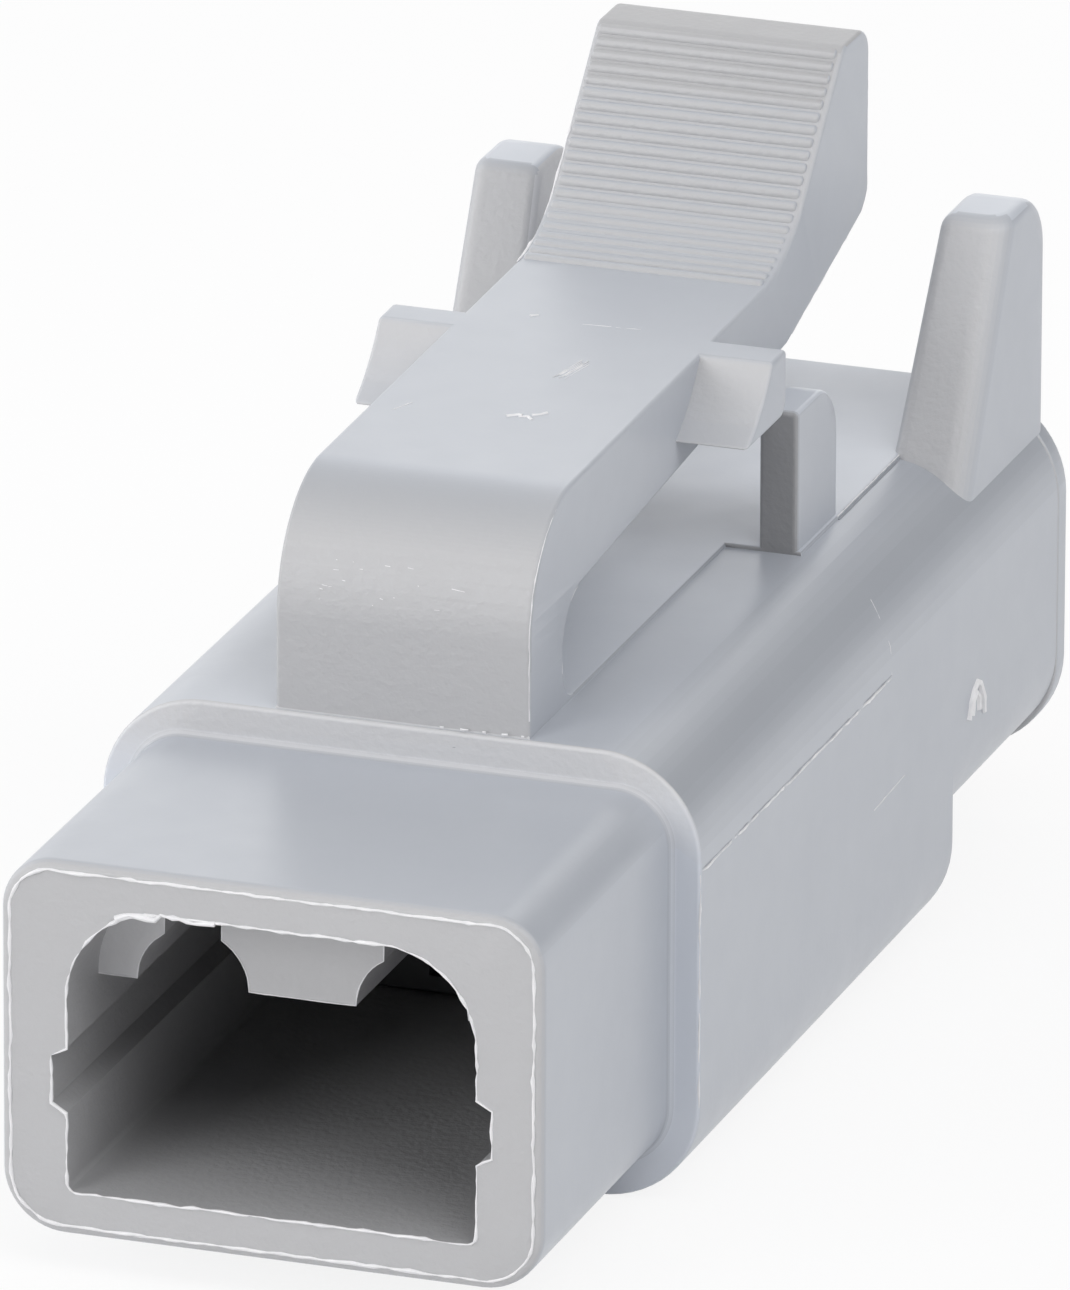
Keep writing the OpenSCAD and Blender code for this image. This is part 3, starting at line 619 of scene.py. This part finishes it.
def thread(lines, closed, radius, uneven, sway):
    """Uneven threads of nylon along lines of points: how thick, how uneven, how far they stray."""
    path = bpy.data.curves.new("thread", "CURVE")
    path.dimensions = "3D"
    path.bevel_depth = radius
    path.bevel_resolution = 2
    path.use_fill_caps = True
    for line in lines:
        points = spaced(line, closed)
        drawn_line = path.splines.new("POLY")
        drawn_line.points.add(len(points) - 1)
        drawn_line.use_cyclic_u = closed
        for knot, point in zip(drawn_line.points, points):
            shift = noise.noise_vector(point * 2.3) * sway
            swell = noise.noise(point * 3.1) + 0.6 * noise.noise(point * 9.7)
            knot.co = (*(point + shift), 1)
            knot.radius = max(0.15, 1 + uneven * swell)
    holder = bpy.data.objects.new("thread", path)
    bpy.context.scene.collection.objects.link(holder)
    made = bmesh.new()
    made.from_mesh(bpy.data.meshes.new_from_object(holder))
    bpy.data.objects.remove(holder)
    bmesh.ops.remove_doubles(made, verts=made.verts, dist=TINY / 10)
    return made


def ride_housing(finished):
    """Fixes a piece to the housing."""
    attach(finished, "housing")


def line_of(*places):
    """A line of points, from places in millimetres."""
    return [Vector(p) for p in places]


def mirrored(line):
    """The same line on the left side."""
    return [Vector((-p.x, p.y, p.z)) for p in line]


rim_lines = chains(rim_edges)
outer = [line for line in rim_lines if max(p.x for p in line) > MOUTH_W / 2 + 1]
inner = [line for line in rim_lines if line not in outer]
burr = line_of((-4.4, RIM, 10.35), (-4.0, RIM, 10.52), (-3.55, RIM, 10.5), (-3.3, RIM, 10.46),
               (-3.1, RIM, 10.62), (-2.6, RIM, 10.58), (-2.2, RIM, 10.5), (-1.6, RIM, 10.56))
deck_edge = line_of(*DECK_LINE)
step_foot = [Vector((STEP_FOOT_X, p.y, STEP_FOOT_Z)) for p in deck_edge]
seam = line_of((SIDE - 0.004, FLANGE + 0.1, SEAM_Z), (SIDE - 0.004, SEAM_END, SEAM_Z))
dot = line_of((1.51, FLANGE, 12.41), (1.59, FLANGE, 12.42))
ridge = line_of((SIDE, FLANGE + 0.1, RIDGE_Z), (SIDE, RIDGE_END, RIDGE_Z))
brow = line_of((SIDE - 0.04, FLANGE + 0.04, 9.6), (SIDE - 0.04, FLANGE + 0.04, 2.9))
climb = line_of((SIDE, SEAM_END, SEAM_Z), (8.53, 5.5, 10.6), (8.21, 5.5, 11.4), (7.9, 5.65, 11.84))
faint = line_of((SIDE, 3.97, 6.3), (SIDE, 6.68, 6.41))
scar = line_of(*((SIDE, y, z) for y, z in ((12.34, 6.1), (12.5, 6.5), (12.75, 6.82), (13.05, 6.97),
                                           (13.3, 6.85), (13.5, 6.4), (13.68, 5.9))))
core = line_of(*((SIDE - 0.04, y, z) for y, z in ((12.7, 6.1), (12.85, 6.5), (13.0, 6.7),
                                                  (13.2, 6.5), (13.25, 6.1))))
for name, lines, closed, radius, uneven, sway, nylon in (
        ("rim_flash", outer, True, 0.042, 0.8, 0.035, pale_flash_and_highlight_nylon),
        ("mouth_flash", inner, True, 0.036, 1.1, 0.035, pale_flash_and_highlight_nylon),
        ("slot_burr", [burr], False, 0.08, 0.8, 0.05, pale_flash_and_highlight_nylon),
        # Painted highlights along the ribs' front edges and the deck's edge, a painted shadow at
        # the deck step's foot, and painted shade in the parting seam.
        ("rib_edge_highlight", chains(rib_edges), False, 0.02, 0.6, 0.01, pale_flash_and_highlight_nylon),
        ("deck_edge_highlight", [deck_edge], False, 0.018, 0.8, 0.01, pale_flash_and_highlight_nylon),
        ("deck_step_shade", [step_foot], False, 0.03, 0.4, 0.01, painted_shade_nylon),
        ("parting_seam_shade", [seam, mirrored(seam), dot], False, 0.016, 0.9, 0.02, painted_shade_nylon),
        ("parting_flash", [ridge, mirrored(ridge), brow], False, 0.024, 1.4, 0.03, pale_flash_and_highlight_nylon),
        ("faint_threads", [climb, faint], False, 0.014, 0.6, 0.01, pale_flash_and_highlight_nylon),
        ("gate_scar", [scar, core], False, 0.12, 0.5, 0.04, pale_flash_and_highlight_nylon)):
    ride_housing(piece(name, thread(lines, closed, radius, uneven, sway), nylon))

# Latch lever: the same moulding as the housing, a strap that rises from the deck, bends over and
# runs back to the ribbed thumb piece, with a lug on each side. It works by bending in its leg, so
# the leg's mesh is cut into steps that can bend.
LEG_FRONT, BEND_R, BEND_IN_R = -10.7, 3.5, 1.5
ARM_TOP, ARM_LOW, ARM_RISE = 6.1, 2.87, 0.28
RAMP_Y, RAMP_TURN, HOLLOW_R = 8.95, math.radians(45), 4.6
THUMB_END, THUMB_TOP, CREST_Y, THUMB_R, THUMB_SOFT = 18.0, 11.3, 15.775, 0.8, 0.2
BELLY_Y, BELLY_LOW, HEEL_LOW, HEEL_CUT = 2, 4.1, 5.9, 0.45
LUG_FACE, LUG_LEN, LUG_TOP, LUG_LOW, LUG_W = 4.65, 3.35, 1.2, 4.4, 2.1
LUG_HOLLOW, LUG_R, LEVER_SOFT = 0.18, 0.5, 0.13
GRIP_RIBS, GRIP_PITCH, GRIP_R, GRIP_SINK, GRIP_SOFT = 21, 0.4, 0.19, 0.09, 0.1
BEND_STEP, BEND_STEPS = 0.45, 11
BEND_END, HOLLOW_CUT = LEG_FRONT + BEND_R, HOLLOW_R * math.tan(RAMP_TURN / 2)
HOLLOW_MID = RAMP_Y + HOLLOW_CUT
# Painted light and shade on the lever: the thumb's top is painted darker, the bend painted darker
# where it turns, and the lugs' fronts painted lighter.
THUMB_PAINTED_SHADE, LUG_PAINTED_LIGHT, BEND_PAINTED_SHADE = 0.9, 1.1, 0.5


def arm_z(y):
    """Height of the arm's top, which rises a little from the bend to the ramp."""
    return DECK + ARM_TOP + ARM_RISE * (y - BEND_END) / (HOLLOW_MID - BEND_END)


outline = [(LEG_FRONT, DECK - 0.05), (LEG_FRONT, arm_z(LEG_FRONT)),
           (HOLLOW_MID, arm_z(HOLLOW_MID)),
           (CREST_Y, DECK + THUMB_TOP), (THUMB_END, DECK + THUMB_TOP),
           (THUMB_END, DECK + HEEL_LOW + HEEL_CUT), (THUMB_END - HEEL_CUT, DECK + HEEL_LOW),
           (RAMP_Y + BELLY_Y, DECK + BELLY_LOW), (FOOT_REAR, DECK + ARM_LOW),
           (FOOT_REAR, DECK - 0.05)]
strap = drawn(outline, (-LEVER_HALF, LEVER_HALF))
for number, radius, segments in ((1, BEND_R, 40), (2, HOLLOW_CUT, 14), (3, THUMB_SOFT, 3),
                                 (4, THUMB_R, 8), (5, THUMB_SOFT, 2), (6, THUMB_SOFT, 2),
                                 (8, BEND_IN_R, 12)):
    soften(strap, radius, segments, corner(*outline[number]))

# Each lug's front is a ramp that is a little hollow. Its points lie close together except at the
# sharp foot, where the soft edge of the lug's side needs the room.
foot, head = Vector((LUG_FACE - LUG_LEN, DECK + LUG_LOW)), Vector((LUG_FACE - LUG_TOP, 0))
head.y = arm_z(head.x)
chord = head - foot
inward = Vector((chord.y, -chord.x)).normalized()
ramp = [foot + chord * t / 10 + inward * LUG_HOLLOW * 4 * t / 10 * (1 - t / 10)
        for t in (0, 3, 4, 5, 6, 7, 8, 9, 10)]
lug_outline = [(LUG_FACE, DECK + LUG_LOW), (LUG_FACE, arm_z(LUG_FACE))]
lug_outline += [tuple(p) for p in reversed(ramp)]
lugs = []
for side in (-1, 1):
    lug = drawn(lug_outline, sorted((side * (LEVER_HALF - 0.5), side * (LEVER_HALF + LUG_W))))
    lugs.append(soften(lug, LUG_R, 6, corner(*lug_outline[0])))
lever = cut_and_joined(strap, [("UNION", lugs)])
bmesh.ops.dissolve_limit(lever, angle_limit=math.radians(1), verts=lever.verts, edges=lever.edges)
lever.normal_update()
rims = [e for e in lever.edges if e.is_convex and e.calc_face_angle(0) > 0.5
        and max(v.co.z for v in e.verts) > DECK + NEAR]
bmesh.ops.bevel(lever, geom=rims, offset=LEVER_SOFT, offset_type="OFFSET", affect="EDGES",
                segments=3, profile=0.5, material=-1)

# The grip ribs are rods that lie side by side, sunk a little into the hollow and the ramp. The
# last ones reach the crest.
ribs = []
for i in range(GRIP_RIBS):
    along = (i + 1) * GRIP_PITCH
    slope = min(along / HOLLOW_R, RAMP_TURN)
    rest = max(along - HOLLOW_R * RAMP_TURN, 0)
    y = RAMP_Y + (HOLLOW_R + GRIP_SINK) * math.sin(slope) + rest * math.cos(slope)
    z = (arm_z(HOLLOW_MID) + HOLLOW_R - (HOLLOW_R + GRIP_SINK) * math.cos(slope)
         + rest * math.sin(slope))
    rib = bmesh.new()
    bmesh.ops.create_cone(rib, cap_ends=True, segments=16, radius1=GRIP_R, radius2=GRIP_R,
                          depth=2 * LEVER_HALF - 0.3)
    bmesh.ops.rotate(rib, matrix=Matrix.Rotation(math.pi / 2, 3, "Y"), verts=rib.verts)
    bmesh.ops.translate(rib, vec=(-0.03, y, z), verts=rib.verts)
    ribs.append(soften(rib, GRIP_SOFT, 3, lambda a, b: abs(a.x - b.x) < 10 * TINY))
lever = cut_and_joined(lever, [("UNION", ribs)])
for step in range(1, BEND_STEPS + 1):
    bmesh.ops.bisect_plane(lever, geom=lever.verts[:] + lever.edges[:] + lever.faces[:],
                           plane_co=(0, 0, DECK + BEND_STEP * step), plane_no=(0, 0, 1))


def lever_look(x, y, z, normal, facing):
    """How sandy the lever is at a face, and how light or dark it is painted there."""
    if normal.z > 0.7 and z > DECK + 10:
        return 1, THUMB_PAINTED_SHADE
    if z > DECK + 2 and y < FLANGE + 5:
        return facing, 1 - BEND_PAINTED_SHADE * facing * (1 - facing)
    on_lug = abs(x) > LEVER_HALF + 0.1 and z > DECK + LUG_LOW - 0.1 and y < LUG_FACE + 0.5
    return facing, LUG_PAINTED_LIGHT if facing > 0.3 and on_lug else 1


strap_piece = piece("latch_lever_moulding", lever, grey_nylon)
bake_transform(strap_piece)
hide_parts("latch_lever")
mark_skin(strap_piece, lever_look)

# Marks on the lever: a hair of flash along its edges, drawn with a painted highlight, and pale
# chips, scuffs and dust of nylon that moulding and handling have left on its top, on the front of
# its leg and at its foot. The pale specks on the front of the leg are dust and painted glints.
# They are of the same nylon and bend with the lever.
INSET, SMEARS, GRAINS = 0.04, 7, 16


def marks(name, radius, uneven, sink, places):
    """Pale marks of one thickness, sunk a little, that bend with the lever."""
    made = thread([[Vector(p) + Vector(sink) for p in place] for place in places], False, radius,
                  uneven, 0.02)
    finished = piece(name, made, pale_flash_and_highlight_nylon)
    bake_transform(finished)


def on_top(*places):
    """Places on the arm's top, which are given as X and Y."""
    return [(x, y, arm_z(y)) for x, y in places]


edge = LEVER_HALF - INSET
bend_z = arm_z(LEG_FRONT) - BEND_R
bend = [(edge, LEG_FRONT + INSET, DECK + 0.4), (edge, LEG_FRONT + INSET, bend_z)]
for i in range(1, 13):
    turn = math.radians(90 * i / 12)
    bend.append((edge, LEG_FRONT + BEND_R - (BEND_R - INSET) * math.cos(turn),
                 bend_z + (BEND_R - INSET) * math.sin(turn) + 0.01 * i / 12))
window = [(edge, FOOT_REAR - INSET, DECK + 0.75), (edge, FOOT_REAR - INSET, DECK + 1.5)]
for i in range(1, 9):
    turn = math.radians(85 * i / 8)
    window.append((edge, FOOT_REAR + 1.42 - (1.42 + INSET) * math.cos(turn),
                   DECK + 1.5 + 1.42 * math.sin(turn)))
heel = [(edge, THUMB_END - INSET, DECK + THUMB_TOP - 0.9), (edge, THUMB_END - INSET, DECK + 6.4),
        (edge, THUMB_END - 0.48, DECK + 5.94), (edge, RAMP_Y + 2.5, DECK + 4.27)]
hem = []
for i in range(14):
    turn = RAMP_TURN * min(i / 8, 1)
    rest = max(i - 8, 0) * 0.45 * 0.707
    hem.append((-edge, RAMP_Y + HOLLOW_R * math.sin(turn) + rest,
                arm_z(HOLLOW_MID) + HOLLOW_R * (1 - math.cos(turn)) + rest - INSET))
# Flash along the bend, the window and the heel, with a painted highlight on it.
marks("lever_flash_and_highlight", 0.014, 0.9, (0, 0, 0), [bend, window, heel])
marks("thumb_flash", 0.03, 1.4, (0, 0, 0), [hem])
marks("lever_chips", 0.06, 0.6, (0, 0, -0.02),
      [on_top((0.22, -2.9), (0.5, -2.7), (0.62, -2.72)),
       on_top((0.55, -2.85), (0.8, -2.75), (0.98, -2.95)),
       on_top((0.86, -2.6), (1.05, -2.5), (1.2, -2.3)), on_top((-1.8, 4.85), (-1.62, 5.0))])
smear = [on_top((0.42 + i * 0.055, 0.4 + 0.1 * (i % 3)),
                (0.72 + i * 0.05, 1.95 - 0.13 * (i * 5 % 4))) for i in range(SMEARS)]
marks("lever_smear", 0.012, 0.9, (0, 0, -0.001),
      smear + [on_top((-0.22, 4.7), (0.6, 4.77)), on_top((0.75, 4.76), (1.44, 4.8)),
               on_top((-2.88, -3.43), (-2.56, -2.7))])
# Pale specks on the front of the leg: dust, and painted glints of its sandy skin.
dust = [[(1.4, LEG_FRONT, 16.9), (1.78, LEG_FRONT, 16.86)]]
for i in range(GRAINS):
    x, z = -2.4 + 3.6 * (i * 0.618 % 1) ** 1.5, DECK + 3.2 + 1.3 * (i * i * 0.173 % 1)
    dust.append([(x, LEG_FRONT, z), (x + 0.03 + 0.06 * (i % 3), LEG_FRONT, z - 0.02 * (i % 2))])
marks("leg_dust_and_glints", 0.009, 0.8, (0, 0.002, 0), dust)
marks("foot_dust", 0.03, 0.9, (0, 0, 0),
      [[(x, FLANGE + 0.03, DECK), (x + w, FLANGE + 0.03, DECK + 0.01)]
       for x, w in ((1.12, 0.1), (1.7, 0.22), (2.35, 0.08), (2.9, 0.16), (3.45, 0.07))])

# Wedge lock: a plate of dark glass filled polyester that is pushed into the mouth until its tongue
# slides under the locking fingers and holds them shut. It has a slot for the hook that draws it.
PLATE_T, PLATE_LOW_R, PLATE_SOFT, WEDGE_GAP = 1.8, 0.2, 0.1, 0.1
TONGUE_HALF, TONGUE_LOW, TONGUE_T, TONGUE_LEN, TONGUE_SOFT = 4.7, 4.0, 1.0, 5.5, 0.3
PLATE_FACE, TONGUE_TIP = BLOCK_FACE - PLATE_T, BLOCK_FACE + TONGUE_LEN
PIN_HOLE_R, PIN_HOLE_MOUTH_R = 1.05, 1.5
HOOK_SLOT = ((-1.6, 1.6), (PLATE_FACE - 0.5, PLATE_FACE + 0.9), (2.95, 3.65))
plate = keyed_mouth(WEDGE_GAP, (PLATE_FACE, BLOCK_FACE), PLATE_LOW_R)
tongue = block((-TONGUE_HALF, TONGUE_HALF), (BLOCK_FACE - 0.4, TONGUE_TIP),
               (TONGUE_LOW, TONGUE_LOW + TONGUE_T))
soften(tongue, TONGUE_SOFT, 4, lambda a, b: min(a.y, b.y) > TONGUE_TIP - NEAR)
wedge = cut_and_joined(plate[0], [("UNION", plate[1:] + [tongue])])
bmesh.ops.dissolve_limit(wedge, angle_limit=math.radians(1), verts=wedge.verts, edges=wedge.edges)
wedge.normal_update()
rims = [e for e in wedge.edges if e.is_convex and e.calc_face_angle(0) > 0.7
        and max(v.co.y for v in e.verts) < PLATE_FACE + NEAR]
bmesh.ops.bevel(wedge, geom=rims, offset=PLATE_SOFT, offset_type="OFFSET", affect="EDGES",
                segments=3, profile=0.5, material=-1)
holes = [block(*HOOK_SLOT)]
for x in (-CONTACT_X, CONTACT_X):
    holes.append(rod(PIN_HOLE_R, x, (PLATE_FACE - 0.5, BLOCK_FACE + 0.5), CONTACT_Z))
    holes.append(rod(PIN_HOLE_R - 0.05, x, (PLATE_FACE - 0.2, PLATE_FACE + 0.3), CONTACT_Z,
                     front=PIN_HOLE_MOUTH_R))
wedge = cut_and_joined(wedge, [("DIFFERENCE", holes)])

# Dark polyester with glass in it: an even satin skin with a faint cloud and a fine grain.
charcoal, tree, output = begin("moulded_charcoal_polyester")
place = add(tree, "ShaderNodeTexCoord").outputs["Object"]
cloud = add(tree, "ShaderNodeTexNoise", {"Vector": place, "Scale": 1 / (2 * MM), "Detail": 3})
dark = add(tree, "ShaderNodeMix", {"Factor": cloud.outputs["Fac"], 6: linear("#36373a"),
                                   7: linear("#3f4043")}, data_type="RGBA")
dull = add(tree, "ShaderNodeMapRange", {"Value": cloud.outputs["Fac"], "To Min": 0.38,
                                        "To Max": 0.5})
grain = add(tree, "ShaderNodeTexNoise", {"Vector": place, "Scale": 1 / (0.1 * MM), "Detail": 2})
relief = add(tree, "ShaderNodeBump", {"Height": grain.outputs["Fac"], "Strength": 0.3,
                                      "Distance": 0.02 * MM})
skin = add(tree, "ShaderNodeBsdfPrincipled",
           {"Base Color": dark.outputs[2], "Roughness": dull.outputs[0], "IOR": 1.57,
            "Normal": relief.outputs[0]})
tree.links.new(skin.outputs[0], output.inputs[0])
lock = piece("wedge_lock_moulding", wedge, charcoal)
ride_housing(lock)
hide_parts("wedge_lock")

# Contacts: two pins turned from brass rod and nickel plated. Each has a rounded point, a barrel, a
# collar that the locking finger holds, and a bore at the back where the wire is crimped.
PIN_R, PIN_LEN, BARREL_R, COLLAR_R, COLLAR_LEN = 0.5, 9.5, 0.95, 1.3, 1.2
CRIMP_R, CRIMP_DEPTH, THROAT = 0.6, 6.0, 2.0
shoulder, collar = PIN_LEN - PLATE_T, PIN_LEN + THROAT
end = POCKET_FLOOR - BLOCK_FACE + PIN_LEN - THROAT
profile = [(0, 0), (0.12, 0.015), (0.21, 0.06), (0.27, 0.14), (PIN_R - 0.03, 0.52), (PIN_R, 0.65),
           (PIN_R, shoulder - 0.3), (BARREL_R, shoulder), (BARREL_R, shoulder + 1.1),
           (BARREL_R - 0.05, shoulder + 1.15), (BARREL_R - 0.05, shoulder + 1.3),
           (BARREL_R, shoulder + 1.35), (BARREL_R, collar), (COLLAR_R - 0.1, collar),
           (COLLAR_R, collar + 0.1), (COLLAR_R, collar + COLLAR_LEN - 0.1),
           (COLLAR_R - 0.1, collar + COLLAR_LEN), (BARREL_R, collar + COLLAR_LEN),
           (BARREL_R, end - 0.12), (BARREL_R - 0.1, end), (CRIMP_R + 0.12, end),
           (CRIMP_R, end - 0.15), (CRIMP_R, end - CRIMP_DEPTH), (0, end - CRIMP_DEPTH - 0.35)]

# Bright nickel: a slightly warm metal, with fine rings that the turning tool has left. They are
# drawn coarser than real ones, so that they show.
RING_PITCH = 0.12
nickel, tree, output = begin("nickel_plated_brass")
place = add(tree, "ShaderNodeTexCoord").outputs["Object"]
rings = add(tree, "ShaderNodeTexWave", {"Vector": place, "Scale": 1 / (20 * RING_PITCH * MM),
                                        "Distortion": 0.4, "Detail": 1},
            wave_type="BANDS", bands_direction="Y")
cloud = add(tree, "ShaderNodeTexNoise", {"Vector": place, "Scale": 1 / (1.5 * MM), "Detail": 2})
dull = add(tree, "ShaderNodeMapRange", {"Value": cloud.outputs["Fac"], "To Min": 0.29,
                                        "To Max": 0.4})
warm = add(tree, "ShaderNodeMix", {"Factor": cloud.outputs["Fac"], 6: linear("#c4c0b6"),
                                   7: linear("#d0cdc6")}, data_type="RGBA")
relief = add(tree, "ShaderNodeBump", {"Height": rings.outputs["Fac"], "Strength": 0.25,
                                      "Distance": 0.01 * MM})
skin = add(tree, "ShaderNodeBsdfPrincipled",
           {"Base Color": warm.outputs[2], "Metallic": 1.0, "Roughness": dull.outputs[0],
            "Normal": relief.outputs[0]})
tree.links.new(skin.outputs[0], output.inputs[0])
for side, x in (("left", -CONTACT_X), ("right", CONTACT_X)):
    turned_pin = bmesh.new()
    points = [turned_pin.verts.new((x + r, BLOCK_FACE - PIN_LEN + t, CONTACT_Z))
              for r, t in profile]
    line = [turned_pin.edges.new(pair) for pair in zip(points, points[1:])]
    bmesh.ops.spin(turned_pin, geom=points + line, cent=(x, 0, CONTACT_Z), axis=(0, 1, 0),
                   angle=math.tau, steps=48, use_merge=True)
    bmesh.ops.remove_doubles(turned_pin, verts=turned_pin.verts, dist=TINY)
    bmesh.ops.recalc_face_normals(turned_pin, faces=turned_pin.faces)
    contact = piece(f"contact_{side}_turned", turned_pin, nickel)
    ride_housing(contact)
    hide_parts(f"contact_pin_{side}")

# Wire seal: one block of red silicone that is pressed into the rear pocket. Three round ribs seal
# it against the pocket, and a round lip seals each wire.
SEAL_LEN, SEAL_RIBS, RIB_STAND, SEAL_GAP, WIRE_R = 7.6, 3, 0.35, 0.05, 0.75
SEAL_SOFT, BAND_SOFT, WIRE_LIP_R, WIRE_LIP_LOW_R, WIRE_LIP = 0.25, 0.32, 1.6, 0.9, 0.35
inset = SEAL_GAP + RIB_STAND
back = POCKET_FLOOR + SEAL_LEN
seal = bar(POCKET_W - 2 * inset, POCKET_H - 2 * inset, POCKET_R - RIB_STAND, pocket_z + inset,
           (POCKET_FLOOR, back), SEAL_SOFT, SEAL_SOFT)
bands = []
for i in range(SEAL_RIBS):
    step = SEAL_LEN / SEAL_RIBS
    middle = POCKET_FLOOR + (i + 0.5) * step
    bands.append(bar(POCKET_W - 2 * SEAL_GAP, POCKET_H - 2 * SEAL_GAP, POCKET_R,
                     pocket_z + SEAL_GAP, (middle - step / 4, middle + step / 4),
                     BAND_SOFT, BAND_SOFT))
cuts = []
for x in (-CONTACT_X, CONTACT_X):
    cuts.append(rod(WIRE_R, x, (POCKET_FLOOR - 0.5, back + 0.5), CONTACT_Z))
    cuts.append(rod(WIRE_LIP_R, x, (back - WIRE_LIP, back + WIRE_LIP), CONTACT_Z,
                    front=WIRE_LIP_LOW_R))
seal = cut_and_joined(seal, [("UNION", bands), ("DIFFERENCE", cuts)])

# Silicone: matt and a little waxy, with a dusty bloom in soft patches.
silicone, tree, output = begin("moulded_red_silicone")
place = add(tree, "ShaderNodeTexCoord").outputs["Object"]
cloud = add(tree, "ShaderNodeTexNoise", {"Vector": place, "Scale": 1 / (1.6 * MM), "Detail": 4})
red = add(tree, "ShaderNodeMix", {"Factor": cloud.outputs["Fac"], 6: linear("#bf5a3b"),
                                  7: linear("#cb6a4a")}, data_type="RGBA")
dull = add(tree, "ShaderNodeMapRange", {"Value": cloud.outputs["Fac"], "To Min": 0.5,
                                        "To Max": 0.68})
grain = add(tree, "ShaderNodeTexNoise", {"Vector": place, "Scale": 1 / (0.15 * MM), "Detail": 2})
relief = add(tree, "ShaderNodeBump", {"Height": grain.outputs["Fac"], "Strength": 0.25,
                                      "Distance": 0.02 * MM})
skin = add(tree, "ShaderNodeBsdfPrincipled",
           {"Base Color": red.outputs[2], "Roughness": dull.outputs[0], "IOR": 1.41,
            "Normal": relief.outputs[0]})
tree.links.new(skin.outputs[0], output.inputs[0])
ribbed = piece("wire_seal_moulding", seal, silicone)
ride_housing(ribbed)
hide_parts("wire_seal")
